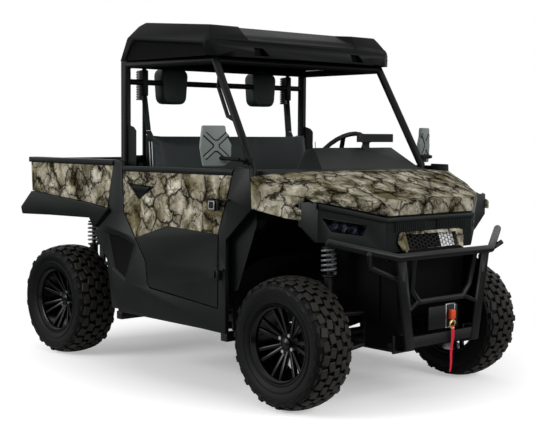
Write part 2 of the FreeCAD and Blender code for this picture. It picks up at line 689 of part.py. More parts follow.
def dash():
    wall_x = FIREWALL_X - SEAT_GAP
    shelf_z = FIREWALL_TOP_Z + SEAT_GAP
    shelf_x = FIREWALL_X + 32
    outline = [(FRONT_AXLE_X - 497, 960), (FRONT_AXLE_X - 327, 915), (wall_x, 915), (wall_x, shelf_z), (shelf_x, shelf_z),
               (shelf_x, 1150), (FRONT_AXLE_X - 277, 1164), (FRONT_AXLE_X - 467, 1160), (FRONT_AXLE_X - 515, 1080)]
    body = side_prism(outline, -DASH_HALF, DASH_HALF)
    hole = rod(along_column(COLUMN_TOP - 20), along_column(COLUMN_TOP + COLUMN_LENGTH + 10), COLUMN_R + 2 * SEAT_GAP)
    ears = both([box(shelf_x - 5, HOOD_HINGE_X + 5, y, y + HOOD_EAR_T, HOOD_HINGE_Z - 12, HOOD_HINGE_Z + 5)
                 for y in (HOOD_EAR_Y, HOOD_EAR_Y + HOOD_BARREL_W + 2 * (HOOD_EAR_T + 1) - HOOD_EAR_T)])
    end_y = HOOD_EAR_Y + HOOD_BARREL_W + 2 * (HOOD_EAR_T + 1)
    pins = both([pin((HOOD_HINGE_X, HOOD_EAR_Y, HOOD_HINGE_Z), (HOOD_HINGE_X, end_y, HOOD_HINGE_Z), HOOD_PIN_R)])
    return fuse([cut(fuse([body] + dash_cowl()), [hole])] + ears + pins)


def seat_base():
    wall = FLOOR_T
    x0, x1 = B_X + 32, B_X + 532
    outer = box(x0, x1, -SEAT_HALF + 30, SEAT_HALF - 30, FLOOR_Z + FLOOR_T + SEAT_GAP, SEAT_Z)
    inner = box(x0 + wall, x1 - wall, -SEAT_HALF + 30 + wall, SEAT_HALF - 30 - wall, FLOOR_Z, SEAT_Z - wall)
    return cut(outer, [inner])


def battery_pack():
    return box(B_X + 62, B_X + 482, -330, 330, FLOOR_Z + FLOOR_T + SEAT_GAP, SEAT_Z - 60)


SEATS = ((-615.0, -190.0), (-180.0, 180.0), (190.0, 615.0))


def cushions():
    z0 = SEAT_Z + SEAT_GAP
    outline = [(B_X + 117, z0), (B_X + 557, z0), (B_X + 577, z0 + 50), (B_X + 562, CUSHION_TOP_Z),
               (B_X + 117, CUSHION_TOP_Z - 22)]
    return [side_prism(outline, y0, y1) for y0, y1 in SEATS]


def seat_backs():
    low = CUSHION_TOP_Z - 22 + SEAT_GAP
    outline = [(B_X + 212, low + 32), (B_X + 130, BACK_TOP_Z), (SEAT_REAR_X, BACK_TOP_Z), (SEAT_REAR_X, BACK_TOP_Z - 200),
               (B_X + 122, low + 0.3), (B_X + 202, low + 4.2)]
    return [side_prism(outline, y0, y1) for y0, y1 in SEATS]


def headrests():
    """Pads with chamfered edges, wrapped from behind round the cross bar."""
    rear = B_X - HEADREST_T + HEAD_WRAP
    half, chamfer = HEADREST_W / 2, 30.0
    z0, z1 = HEADREST_Z
    outline = [(-half, z0 + chamfer), (-half, z1 - chamfer), (-half + chamfer, z1), (half - chamfer, z1),
               (half, z1 - chamfer), (half, z0 + chamfer), (half - chamfer, z0), (-half + chamfer, z0)]
    pad = front_prism([(HEADREST_Y + y, z) for y, z in outline], rear, rear + HEADREST_T)
    bar = rod((B_X, -B_Y, HEAD_BAR_Z), (B_X, B_Y, HEAD_BAR_Z), CAGE_R - 5 + 2 * SEAT_GAP)
    return both([cut(pad, [bar])])


# Cage: pillars, roof rails, cross bars and belt posts

def on_pillar(z):
    """The point of the front pillar's centre line at a height."""
    share = (z - A_BASE[2]) / (A_TOP[2] - A_BASE[2])
    return tuple(a + (b - a) * share for a, b in zip(A_BASE, A_TOP))


def cage():
    foot_z = RAIL_Z1 + SEAT_GAP
    side = [tube([(LEG_X, LEG_Y, foot_z), (LEG_X, LEG_Y, 690), (A_BASE[0] - 21, A_BASE[1] - 2, 900), A_BASE, A_TOP],
                 CAGE_R),
            tube([(A_TOP[0] + 6, A_TOP[1], ROOF_RAIL_Z), (B_X, B_Y, ROOF_RAIL_Z)], CAGE_R - 1),
            rod((B_X, B_Y, foot_z), (B_X, B_Y, ROOF_LOW_Z - SEAT_GAP), B_R),
            rod((B_X, BELT_POST_Y, WAIST_BAR_Z), (B_X, BELT_POST_Y, ROOF_RAIL_Z), BELT_POST_R, THIN_SIDES),
            rod((B_X, BELT_POST_Y, HEAD_BAR_Z - 76), (B_X, BELT_POST_Y, HEAD_BAR_Z + 70), 2 * BELT_POST_R - 3)]
    bars = [rod((B_X, -B_Y, z), (B_X, B_Y, z), CAGE_R - 5) for z in (WAIST_BAR_Z, HEAD_BAR_Z, ROOF_RAIL_Z)]
    bars.append(rod((A_TOP[0], -A_TOP[1], ROOF_RAIL_Z), (A_TOP[0], A_TOP[1], ROOF_RAIL_Z), CAGE_R - 5))
    back_x = SEAT_REAR_X - SEAT_GAP
    back_pad = box(B_X, back_x, HEADREST_Y - 11, HEADREST_Y + 109, WAIST_BAR_Z - 15, WAIST_BAR_Z + 15)
    middle_pad = box(B_X, back_x, -60, 60, WAIST_BAR_Z - 15, WAIST_BAR_Z + 15)
    return fuse(both(side + [back_pad]) + bars + [middle_pad])


# Roof: a moulded shell that falls to the front, its flanks sloped in above a crease, with a channel between two pods

ROOF_T = 22.0
ROOF_SKIN = 52.0
ROOF_FALL = 0.0774
ROOF_HALF = 705.0
ROOF_CREASE = 0.59
ROOF_PLAN = ((-1400, -720), (-620, -720), (-577, -640), (-537, -340), (-525, 0))


def roof_block(inset, drop, sink):
    """The roof's outer form, or the hollow under it: drawn in, carried down past the rim and sunk under the top."""
    rear, front = B_X - 38 + inset, FRONT_AXLE_X - inset
    low = ROOF_LOW_Z - drop
    share = [(rear, low), (rear + 75, ROOF_LOW_Z + 0.6 * ROOF_H - sink),
             (rear + 112, ROOF_LOW_Z + 0.92 * ROOF_H - sink), (rear + 150, ROOF_TOP_Z - sink),
             (front - 690, ROOF_TOP_Z - sink), (front - 624, ROOF_LOW_Z + 0.6 * ROOF_H - sink), (front - 525, low)]
    side = side_prism(share, -ROOF_HALF - 50, ROOF_HALF + 50)
    half = ROOF_HALF - inset
    crease_z = ROOF_LOW_Z + ROOF_CREASE * ROOF_H - sink
    outline = symmetric([(half, low - 60), (half, crease_z), (half - 72, ROOF_TOP_Z - sink)])
    start = V(B_X + 92, 0, 0)
    face = polygon_face([V(start.x, y, z) for y, z in outline])
    back = face.extrude(V(-300, 0, 0.3 * 300 * ROOF_FALL))
    ahead_part = face.extrude(V(1000, 0, -1000 * ROOF_FALL))
    plan = [(FRONT_AXLE_X + x - inset, y) for x, y in ROOF_PLAN]
    plan += [(x, -y) for x, y in reversed(plan[:-1])]
    walls = plan_prism(plan, low - 100, ROOF_TOP_Z + 100)
    return solid_of(back.fuse(ahead_part).removeSplitter().common(side).common(walls))


def roof():
    shell = cut(roof_block(0, 0, 0), [roof_block(ROOF_T, 40, ROOF_SKIN)])
    top = ROOF_TOP_Z
    channel = side_prism(ahead([(-820, top + 40), (-820, top - 26), (-700, top - 70), (-640, top - 88), (-560, top - 150),
                                (-500, top - 150), (-500, top + 40)]), -440, 440)
    sloped = front_prism([(-440, top + 50), (-440, top - 30), (-400, top - 160), (400, top - 160), (440, top - 30),
                          (440, top + 50)], B_X, FRONT_X)
    notches = both([front_prism([(320, ROOF_LOW_Z + 10), (420, ROOF_LOW_Z + 10), (400, ROOF_LOW_Z + 52),
                                 (340, ROOF_LOW_Z + 52)], FRONT_AXLE_X - 590, FRONT_AXLE_X - 500)])
    return cut(shell, [channel.common(sloped)] + notches)


# Body panels

DOOR_OUTLINE = aft([(730, 1165)]) + ahead([(-307, 1170), (-425, 845), (-427, 463)]) + aft(
    [(982, 509), (962, 530), (947, 645), (892, 717), (853, 770), (742, 910)])
SIDE_OUTLINE = aft([(722, 1190), (649, 1190), (589, 957), (617, 900), (469, 790), (436, 785), (574, 625), (624, 356)]) + (
    ahead([(-362, 336), (-362, 818), (-170, 980), (-184, 1180)]))


def hinge_leaf(z, foot_x):
    """The fixed half: a strap on the panel and a pin that stands in the door's barrel."""
    z0, z1 = z + HINGE_H / 2 + 1, z + HINGE_H / 2 + 11
    knuckle_top = rod((HINGE_X, HINGE_Y, z0), (HINGE_X, HINGE_Y, z1), HINGE_R)
    stem = pin((HINGE_X, HINGE_Y, z - HINGE_H / 2), (HINGE_X, HINGE_Y, z + HINGE_H / 2 + 5), HINGE_PIN_R)
    strap = box(HINGE_X, foot_x + 18, HINGE_Y - 6, HINGE_Y, z0, z1)
    foot = box(foot_x, foot_x + 18, SIDE_OUT_Y - 3, HINGE_Y - 2, z0, z1)
    return [knuckle_top, stem, strap, foot]


def body_side():
    """The panel round the door, the rocker that carries it on the outriggers, and the hinge pins."""
    y0, y1 = SIDE_IN_Y, SIDE_OUT_Y
    panel = side_prism(SIDE_OUTLINE, y0, y1)
    opening = aft([(725, 1300)]) + ahead([(-295, 1300), (-304, 1170), (-307, 1170)]) + DOOR_OUTLINE[2:]
    hole = polygon_face([V(x, y0 - 5, z) for x, z in opening]).makeOffset2D(PANEL_GAP, 2).extrude(V(0, y1 - y0 + 10, 0))
    rocker = box(B_X + 2, FRONT_AXLE_X - 437, B_Y + B_R + 3, y0 + 5, RAIL_Z1 + SEAT_GAP, FLOOR_Z - 20)
    pieces = [cut(fuse([panel, rocker]), [hole])]
    for z, foot_x in zip(HINGE_ZS, HINGE_FEET_X):
        pieces += hinge_leaf(z, foot_x)
    return fuse(pieces)


def door():
    """A hollow-looking slab as thick as the real door, with a raised lower panel, a top rail and two hinge barrels."""
    slab = side_prism(DOOR_OUTLINE, DOOR_IN_Y, DOOR_SKIN_Y)
    lower = side_prism(aft([(853, 770), (1139, 854)]) + ahead([(-425, 838), (-427, 463)]) + DOOR_OUTLINE[4:8],
                       DOOR_SKIN_Y - 3, SIDE_OUT_Y)
    rail = side_prism(aft([(730, 1165)]) + ahead([(-307, 1170), (-318, 1140)]) + aft([(731, 1135)]),
                      DOOR_IN_Y, SIDE_OUT_Y + 2)
    pieces = [slab, lower, rail]
    for z in HINGE_ZS:
        z0, z1 = z - HINGE_H / 2, z + HINGE_H / 2
        pieces.append(rod((HINGE_X, HINGE_Y, z0), (HINGE_X, HINGE_Y, z1), HINGE_R))
        pieces.append(box(HINGE_X - 60, HINGE_X, HINGE_Y - 6, HINGE_Y, z0, z1))
        pieces.append(box(HINGE_X - 60, HINGE_X - 40, SIDE_OUT_Y - 18, HINGE_Y - 2, z0, z1))
    handle = side_prism(aft([(812, 1058), (977, 1054), (942, 1028), (839, 1028)]), DOOR_SKIN_Y - 3, SIDE_OUT_Y - 4)
    bores = [bore((HINGE_X, HINGE_Y, z - HINGE_H), (HINGE_X, HINGE_Y, z + HINGE_H), HINGE_PIN_R) for z in HINGE_ZS]
    return cut(fuse(pieces + [handle]), bores)


def door_skin():
    """The camouflaged upper panel, with the pull's recess let in."""
    outline = aft([(731, 1134.5)]) + ahead([(-318.5, 1139.5), (-425, 845), (-425, 838.5)]) + (
        aft([(1139, 854.5), (853, 770.5), (742, 910)]))
    skin = side_prism(outline, DOOR_SKIN_Y + SEAT_GAP, SIDE_OUT_Y)
    recess = side_prism(aft([(781, 1069), (1025, 1059), (876, 980)]), DOOR_SKIN_Y - 10, SIDE_OUT_Y + 10)
    z = HINGE_ZS[1]
    foot_hole = box(HINGE_X - 65, HINGE_X - 35, DOOR_SKIN_Y, SIDE_OUT_Y + 5, z - HINGE_H / 2 - 5, z + HINGE_H / 2 + 5)
    return cut(skin, [recess, foot_hole])


# Front: a crowned hood and fenders of one shell, whose front edge drops to a lip, over a black nose

FRONT_PLAN = ((NOSE_X, NOSE_HALF), (BROW_X, BROW_Y), (CHEEK_X, CHEEK_Y), (FRONT_AXLE_X + 63, SIDE_OUT_Y))
CROWN_POWER = 4.0
CROWN_HALF = 700.0
HOOD_REAR_X = HOOD_HINGE_X + 7.0


def front_plan(inset, rear_x, z0, z1):
    """The block whose plan is the front body's, drawn in by an inset."""
    half = [(x - inset, y - 0.7 * inset) for x, y in FRONT_PLAN] + [(rear_x, SIDE_OUT_Y - inset)]
    return plan_prism(half + [(x, -y) for x, y in reversed(half)], z0, z1)


def crown_z(height, fall, y):
    return height - fall * (abs(y) / CROWN_HALF) ** CROWN_POWER


def crown_block(drop, depth):
    """Everything within a depth under the crowned surface, lowered by a drop, as one faceted solid."""
    ys = sorted(set([-y for y in CROWN_YS] + list(CROWN_YS) + [-800, 800]))
    rows = [[V(FRONT_AXLE_X + x, y, crown_z(z, fall, y) - drop) for y in ys] for x, z, fall in CROWN]
    floor = [[V(p.x, p.y, 800 - depth) for p in row] for row in rows]
    faces = []
    for i in range(len(rows) - 1):
        for j in range(len(ys) - 1):
            a, b, c, d = rows[i][j], rows[i + 1][j], rows[i + 1][j + 1], rows[i][j + 1]
            faces += [polygon_face([a, b, c]), polygon_face([a, c, d])]
    for i in range(len(rows) - 1):
        for j in (0, -1):
            faces.append(polygon_face([rows[i][j], rows[i + 1][j], floor[i + 1][j], floor[i][j]]))
    for i in (0, -1):
        faces.append(polygon_face(rows[i] + floor[i][::-1]))
    corners = [floor[0][0], floor[-1][0], floor[-1][-1], floor[0][-1]]
    edge = [r[0] for r in floor] + floor[-1][1:] + [r[-1] for r in floor[::-1][1:]] + floor[0][1:-1][::-1]
    faces.append(polygon_face(edge if corners else edge))
    return closed(faces)


def lip_z(x):
    return LIP_Z + (NOSE_X - x) * (BROW_Z - LIP_Z) / (NOSE_X - BROW_X)


def below_lip(shift, half):
    """The region under the lip line, which rises from the nose to the brow."""
    x0 = BROW_X - 60
    outline = [(FRONT_X + 50, 600), (FRONT_X + 50, LIP_Z + shift), (NOSE_X, LIP_Z + shift), (x0, lip_z(x0) + shift),
               (x0, 600)]
    return side_prism(outline, -half, half)


def front_shell():
    outer = crown_block(0, 0).common(front_plan(0, HOOD_REAR_X, 850, 1250))
    inner = crown_block(HOOD_T, 10).common(front_plan(HOOD_T, HOOD_REAR_X - 40, 840, 1250))
    return outer.cut(inner)


def hood():
    slab = front_shell().common(box(0, FRONT_X, -HOOD_HALF, HOOD_HALF, 800, 1300)).cut(below_lip(0, SIDE_OUT_Y))
    y0 = HOOD_EAR_Y + HOOD_EAR_T + 1
    y1 = y0 + HOOD_BARREL_W
    barrels = both([rod((HOOD_HINGE_X, y0, HOOD_HINGE_Z), (HOOD_HINGE_X, y1, HOOD_HINGE_Z), 2 * HOOD_PIN_R),
                    box(HOOD_HINGE_X, HOOD_REAR_X + 12, y0, y1, HOOD_HINGE_Z, HOOD_HINGE_Z + 2 * HOOD_PIN_R)])
    hole = bore((HOOD_HINGE_X, -500, HOOD_HINGE_Z), (HOOD_HINGE_X, 500, HOOD_HINGE_Z), HOOD_PIN_R)
    return cut(fuse([solid_of(slab)] + barrels), [hole])


def fender():
    """The shell outside the hood, with a flank whose rear edge follows the body side."""
    panel = front_shell().common(box(0, FRONT_X, HOOD_HALF + PANEL_GAP, SIDE_OUT_Y + 20, 800, 1300))
    flank_cut = side_prism(ahead([(-250, 992), (128, 943), (200, 943), (200, 700), (-250, 700)]), 0, SIDE_OUT_Y + 20)
    edge = side_prism(ahead([(-184 + SEAT_GAP, 1300), (-184 + SEAT_GAP, 1180), (-170 + SEAT_GAP, 980), (-168, 900), (-400, 900),
                             (-400, 1300)]), 500, SIDE_OUT_Y + 20)
    lip = below_lip(0, CHEEK_Y - HOOD_T)
    return cut(solid_of(panel), [flank_cut, edge, lip])


def nose_plan(inset, z0, z1, grow=0.0):
    half = [(x - inset, y - 0.6 * inset + grow) for x, y in FRONT_PLAN[:3]]
    half[2] = (half[2][0], half[2][1] - 14)
    half.append((CHEEK_X - NOSE_T, half[2][1]))
    return plan_prism(half + [(x, -y) for x, y in reversed(half)], z0, z1)


def nose_low_cut():
    """What lies under the nose's lower edge: level in front, rising along the brow and up the cheek."""
    front = side_prism([(FRONT_X, 600), (FRONT_X, NOSE_LOW_Z), (NOSE_X - 24, NOSE_LOW_Z), (BROW_X, BROW_LOW_Z),
                        (BROW_X - 60, BROW_LOW_Z), (BROW_X - 60, 600)], -BROW_Y, BROW_Y)
    cheeks = both([front_prism([(BROW_Y, 600), (BROW_Y, BROW_LOW_Z), (CHEEK_Y, CHEEK_LOW_Z), (CHEEK_Y + 50, CHEEK_LOW_Z + 60),
                                (CHEEK_Y + 50, 600)], BROW_X - 80, FRONT_X)])
    return [front] + cheeks


def grille_notch(gap):
    return box(NOSE_X - 150, FRONT_X, -GRILLE_HALF[0] - 7 - gap, GRILLE_HALF[0] + 7 + gap, 600, GRILLE_Z[1] - 3 + gap)


def nose():
    wall = nose_plan(8, 700, 1100).cut(nose_plan(8 + NOSE_T, 690, 1110).fuse(box(900, CHEEK_X - NOSE_T + 8, -700, 700, 690, 1110)))
    lip = nose_plan(-4, 700, 1100).cut(nose_plan(14, 690, 1110))
    gap = PANEL_GAP
    lip = lip.common(below_lip(-gap, SIDE_OUT_Y)).cut(below_lip(-gap - LIP_H, SIDE_OUT_Y))
    lip = lip.common(box(BROW_X - 5, FRONT_X, -BROW_Y, BROW_Y, 700, 1100))
    wall = wall.common(below_lip(-gap, SIDE_OUT_Y))
    body = wall.cut(nose_low_cut()).fuse(lip)
    return cut(solid_of(body.removeSplitter()), [grille_notch(SEAT_GAP)] + both([headlight(SEAT_GAP)]))


def lower_fascia():
    """The black plate behind the guard, seated on the nose posts."""
    return box(NOSE_INNER_X, NOSE_INNER_X + 14, -RAIL_Y1 + 20, RAIL_Y1 - 20, FLOOR_Z, NOSE_LOW_Z - 4)


LAMP_OUTLINE = ((25.0, 947.0), (70.0, 883.0), (221.0, 862.0), (242.0, 910.0))
LAMP_T = 35.0


def headlight(grow=0.0):
    """A lens block let into the slanted side of the nose, or its pocket when grown."""
    corner, brow = V(NOSE_X - 8, NOSE_HALF - 5, 0), V(BROW_X - 8, BROW_Y - 5, 0)
    along = (corner - brow).normalize()
    out = V(-along.y, along.x, 0)
    start = brow + out * 3
    face = polygon_face([V(start.x + along.x * s, start.y + along.y * s, z) for s, z in LAMP_OUTLINE])
    if grow:
        face = face.makeOffset2D(grow, 2)
    return face.extrude(out * -(LAMP_T + grow))


GRILLE_LEAN = 34.0
GRILLE_BACK_X = NOSE_X - 37.0


def grille_slab(x_shift, thickness, half, z0, z1):
    """A plate in the grille's leaning plane, whose foot stands forward of its head."""
    z_low, z_high = GRILLE_Z
    def front_x(z):
        return NOSE_X + 26 - GRILLE_LEAN * (z - z_low) / (z_high - z_low)
    outline = [(front_x(z0) - x_shift, z0), (front_x(z1) - x_shift, z1), (front_x(z1) - x_shift - thickness, z1),
               (front_x(z0) - x_shift - thickness, z0)]
    return side_prism(outline, -half, half)


def grille_frame():
    """The camouflaged surround: a leaning plate with a window, and cheeks that reach back into the nose."""
    half, window = GRILLE_HALF[0] + 7, GRILLE_HALF[1]
    z0, z1 = NOSE_LOW_Z, GRILLE_Z[1] - 3
    block = grille_slab(0, 60, half, z0, z1).common(box(GRILLE_BACK_X, FRONT_X, -half, half, z0, z1))
    hollow = grille_slab(8, 90, half - 10, z0 + 8, z1 - 8)
    return cut(solid_of(block), [hollow, grille_slab(-5, 90, window, z0 + 14, z1 - 14)])


HEX_R = 19.0
HEX_PITCH = 38.0
HEX_COUNT = (10, 2)


def grille_mesh():
    """A plate behind the window with rows of six-sided holes."""
    half = GRILLE_HALF[0] + 7 - 10 - SEAT_GAP
    z0, z1 = NOSE_LOW_Z + 8 + SEAT_GAP, GRILLE_Z[1] - 11 - SEAT_GAP
    plate = grille_slab(12, 4, half, z0, z1)
    holes = []
    columns, rows = HEX_COUNT
    row_step = HEX_PITCH * math.sqrt(3) / 2
    for r in range(rows):
        z = (z0 + z1) / 2 + (r - (rows - 1) / 2) * row_step
        for c in range(columns - r % 2):
            y = (c - (columns - 1 - r % 2) / 2) * HEX_PITCH
            holes.append(rod((NOSE_X - 60, y, z), (FRONT_X, y, z), HEX_R * 0.87, 6))
    return cut(plate, holes)


def mirrored_point(point):
    x, y, z = point
    return (x, -y, z)


def bumper():
    """The guard's main bar, two broad posts, a hoop below, side braces and the beam on the frame ends."""
    bar_x, bar_z = GUARD_CORNER[0], GUARD_CORNER[2]
    bar = tube([mirrored_point(GUARD_TIP), mirrored_point(GUARD_CORNER), GUARD_CORNER, GUARD_TIP], BUMPER_R)
    plate_x = bar_x - 20
    plate = front_prism([(295, bar_z - 8), (360, bar_z - 8), (280, 300), (222, 300)], plate_x, plate_x + 12)
    shoe = box(RAIL_FRONT_X + SEAT_GAP, plate_x + 5, 232, 272, 302, 372)
    flange = box(RAIL_FRONT_X + SEAT_GAP, RAIL_FRONT_X + 14, 226, RAIL_Y1 + 9, RAIL_Z0 - 6, 376)
    brace = tube([(GUARD_TIP[0] + 140, 520, 790), (GUARD_TIP[0] + 67, 430, 712), (plate_x + 5, 300, 640)], BRACE_R,
                 THIN_SIDES)
    half = [plate, shoe, flange, brace]
    hoop = tube([(bar_x - 6, -238, bar_z - 2), (plate_x - 12, -225, 592), (plate_x - 12, -169, 532),
                 (plate_x - 12, 169, 532), (plate_x - 12, 225, 592), (bar_x - 6, 238, bar_z - 2)], BRACE_R + 2,
                THIN_SIDES)
    link = both([tube([(plate_x - 12, 172, 535), (plate_x + 4, 262, 500)], BRACE_R - 2, THIN_SIDES)])
    beam = box(plate_x - 14, plate_x + 6, -240, 240, 312, 366)
    return fuse([bar, hoop, beam] + both(half) + link)


def winch():
    tray_x = FRONT_AXLE_X + 203
    half = RAIL_Y1 - 12
    tray = box(tray_x, tray_x + 75, -half, half, RAIL_Z1 + SEAT_GAP, RAIL_Z1 + 10)
    drum = rod((tray_x + 40, -150, 392), (tray_x + 40, 150, 392), 50)
    fairlead = box(FAIRLEAD_X, FAIRLEAD_X + FAIRLEAD_T, -FAIRLEAD_HALF, FAIRLEAD_HALF, FAIRLEAD_Z[0], FAIRLEAD_Z[1])
    arms = both([box(tray_x + 60, FAIRLEAD_X + 5, 70, 90, 402, 426)])
    return fuse([tray, drum, fairlead] + arms)


def winch_hook():
    face = FAIRLEAD_X + FAIRLEAD_T
    stopper = rod((face + SEAT_GAP, HOOK_Y, HOOK_Z), (face + 26, HOOK_Y, HOOK_Z), 22)
    strap = box(face + 12, face + 17, HOOK_Y - 14, HOOK_Y + 14, 160, HOOK_Z)
    return fuse([stopper, strap])


MIRROR_CENTRE = (FRONT_AXLE_X - 405.0, 802.0, 1287.0)
MIRROR_SIZE = (28.0, 170.0, 208.0)
MIRROR_TURN = 21.0


def mirrors():
    """Housings on arms that clamp on the front pillars."""
    dx, dy, dz = [s / 2 for s in MIRROR_SIZE]
    housing = moved(turned(box(-dx, dx, -dy, dy, -dz, dz), MIRROR_TURN, V(0, 0, 1)), *MIRROR_CENTRE)
    x, y, z = MIRROR_CENTRE
    arm = tube([(x, y - 12, z - 60), (x + 110, y - 62, z - 66), on_pillar(z - 74)], 10)
    return both([cut(fuse([housing, arm]), [rod(A_BASE, A_TOP, CAGE_R + SEAT_GAP, 2 * BAR_SIDES)])])


def grab_handle():
    top, low = on_pillar(ROOF_LOW_Z - 80), on_pillar(ROOF_LOW_Z - 340)
    bar = tube([top, (A_TOP[0] + 2, A_TOP[1] - 23, ROOF_LOW_Z - 160), (A_TOP[0] + 77, A_TOP[1] - 23, ROOF_LOW_Z - 310), low],
               11)
    return mirrored(cut(bar, [rod(A_BASE, A_TOP, CAGE_R + SEAT_GAP, 2 * BAR_SIDES)]))


# Bed: a box with black caps and flares, camouflaged skins and a tailgate

FLARE_OUTLINE = aft([(-220, 985), (417, 941), (608, 917), (459, 803), (415, 856), (-13, 848), (-329, 838), (-346, 882)])
FLARE_OUT_Y = 785.0


def bed_box():
    """Floor, front wall, side walls with caps, wheel flares, and the ears on the tilt pins."""
    floor = box(BED_REAR_X, BED_FRONT_X, -BED_IN_Y - 20, BED_IN_Y + 20, BED_FLOOR_Z0, BED_FLOOR_Z1)
    front = box(BED_FRONT_X - 30, BED_FRONT_X, -BED_IN_Y - 20, BED_IN_Y + 20, BED_FLOOR_Z0, BED_TOP_Z)
    wall = box(BED_REAR_X, BED_FRONT_X, BED_IN_Y, SIDE_IN_Y, BED_FLOOR_Z0, BED_TOP_Z)
    cap_end = REAR_AXLE_X + 641
    cap = box(BED_REAR_X - 18, cap_end, BED_IN_Y, SIDE_OUT_Y + 6, BED_TOP_Z - RAIL_CAP_T, BED_TOP_Z)
    cap = cut(cap, [box(BED_FRONT_X, cap_end + 80, 600, SIDE_IN_Y - 5, 900, 1300)])
    flare = side_prism(FLARE_OUTLINE, BED_IN_Y, FLARE_OUT_Y)
    ear = side_prism([(BED_PIVOT_X - 24, BED_FLOOR_Z0 + 5), (BED_PIVOT_X - 20, BED_PIVOT_Z - 20),
                      (BED_PIVOT_X + 20, BED_PIVOT_Z - 20), (BED_PIVOT_X + 24, BED_FLOOR_Z0 + 5)],
                     RAIL_Y0 + 7, RAIL_Y1 - SIDE_PLATE_T - 0.5)
    hole = bore((BED_PIVOT_X, RAIL_Y0 - 50, BED_PIVOT_Z), (BED_PIVOT_X, RAIL_Y1 + 50, BED_PIVOT_Z), BED_PIN_R)
    return fuse(both([wall, cap, flare, cut(ear, [hole]), tailgate_pin(pin, 0)]) + [floor, front])


def bed_skin():
    z = BED_TOP_Z - RAIL_CAP_T - 0.5
    outline = aft([(639, z), (-245, z), (-233, 986.5), (417, 941.5), (585, 921), (585, 957)])
    skin = side_prism(outline, SIDE_IN_Y + SEAT_GAP, SIDE_OUT_Y)
    return cut(skin, [side_prism([(x, z + SEAT_GAP) for x, z in FLARE_OUTLINE], BED_IN_Y, FLARE_OUT_Y + 10)])


def tailgate_pin(make, grow):
    return make((TAILGATE_X, BED_IN_Y - 45 - grow, TAILGATE_PIVOT_Z), (TAILGATE_X, BED_IN_Y + 8, TAILGATE_PIVOT_Z),
                TAILGATE_PIN_R)


def tailgate():
    half = TAILGATE_T / 2
    leaf = box(TAILGATE_X - half, TAILGATE_X + half, -TAILGATE_HALF, TAILGATE_HALF, BED_FLOOR_Z1 + 3, BED_TOP_Z - 8)
    return cut(leaf, both([tailgate_pin(bore, RUN_CLEARANCE)]))


def tail_lights():
    return both([box(BED_REAR_X - 14, BED_REAR_X - SEAT_GAP, BED_IN_Y + 6, SIDE_IN_Y - 5, 1000, 1120)])


os.makedirs("parts", exist_ok=True)
save_wheels()
save_knuckles()
save_suspension()
save_shocks()
save("frame", frame())
save("driveline", driveline())
save("battery_pack", [battery_pack()])
save("steering_gear", [rack_housing(), column()])
save("steering_rack", [rack_bar()])
save("steering_wheel", [steering_wheel()])
save("cab_floor", [cab_floor()])
save("dash", [dash()])
save("seat_base", [seat_base()])
save("seat_cushions", cushions())
save("seat_backs", seat_backs())
save("headrests", headrests())
save("cage", [cage(), grab_handle()])
save("roof", [roof()])
save("body_sides", both([body_side()]))
save("door_left", [door()])
save("door_right", [mirrored(door())])
save("door_skin_left", [door_skin()])
save("door_skin_right", [mirrored(door_skin())])
save("hood", [hood()])
save("fenders", both([fender()]))
save("nose", [nose(), lower_fascia()])
save("headlights", both([headlight()]))
save("grille_mesh", [grille_mesh()])
save("grille_frame", [grille_frame()])
save("bumper", [bumper()])
save("winch", [winch()])
save("winch_hook", [winch_hook()])
save("mirrors", mirrors())
save("bed_box", [bed_box()])
save("bed_skins", both([bed_skin()]))
save("tailgate", [tailgate()])
save("tail_lights", tail_lights())
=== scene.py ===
import bpy
import bmesh
import math
from mathutils import Matrix, Vector


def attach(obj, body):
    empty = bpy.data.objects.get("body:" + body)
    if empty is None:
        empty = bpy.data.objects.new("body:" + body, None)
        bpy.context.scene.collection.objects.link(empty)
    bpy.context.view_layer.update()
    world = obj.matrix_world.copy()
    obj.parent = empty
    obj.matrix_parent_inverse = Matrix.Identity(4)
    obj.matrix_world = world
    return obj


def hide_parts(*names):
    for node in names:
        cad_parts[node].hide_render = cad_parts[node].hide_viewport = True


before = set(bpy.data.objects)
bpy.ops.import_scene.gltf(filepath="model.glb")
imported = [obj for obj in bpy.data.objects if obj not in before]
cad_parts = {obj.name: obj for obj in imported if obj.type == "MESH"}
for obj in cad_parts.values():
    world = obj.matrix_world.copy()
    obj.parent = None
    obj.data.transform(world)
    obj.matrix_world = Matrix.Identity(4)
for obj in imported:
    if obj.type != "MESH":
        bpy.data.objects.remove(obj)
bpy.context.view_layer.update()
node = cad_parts


# View. The photograph is taken from the front right at chest height, with a slight
# roll. The position and the three axes were fitted to the wheels and the body.
def placed(name, data):
    """Makes an object of its data and puts it in the scene."""
    made = bpy.data.objects.new(name, data)
    bpy.context.scene.collection.objects.link(made)
    return made


right = Vector((0.6735, 0.7391, 0.0073)).normalized()
back = right.cross(Vector((-0.059, 0.0439, 0.9973))).normalized()
up = back.cross(right)
camera = placed("camera", bpy.data.cameras.new("camera"))
camera.matrix_world = Matrix((
    (right.x, up.x, back.x, 5.0214),
    (right.y, up.y, back.y, -4.5096),
    (right.z, up.z, back.z, 1.3597),
    (0, 0, 0, 1)))
camera.data.lens = 77.62
camera.data.sensor_width = 36
camera.data.clip_end = 100
bpy.context.scene.camera = camera
bpy.context.scene.view_settings.view_transform = "Standard"


# Studio. A white floor carries the shadow, the world shows white to the camera and
# to gloss, and three large soft lamps stand over and beside the vehicle.
def linear(text):
    """An sRGB hex colour as linear values."""
    channels = [int(text[k:k + 2], 16) / 255 for k in (1, 3, 5)]
    return [c / 12.92 if c <= 0.04045 else ((c + 0.055) / 1.055) ** 2.4 for c in channels] + [1.0]


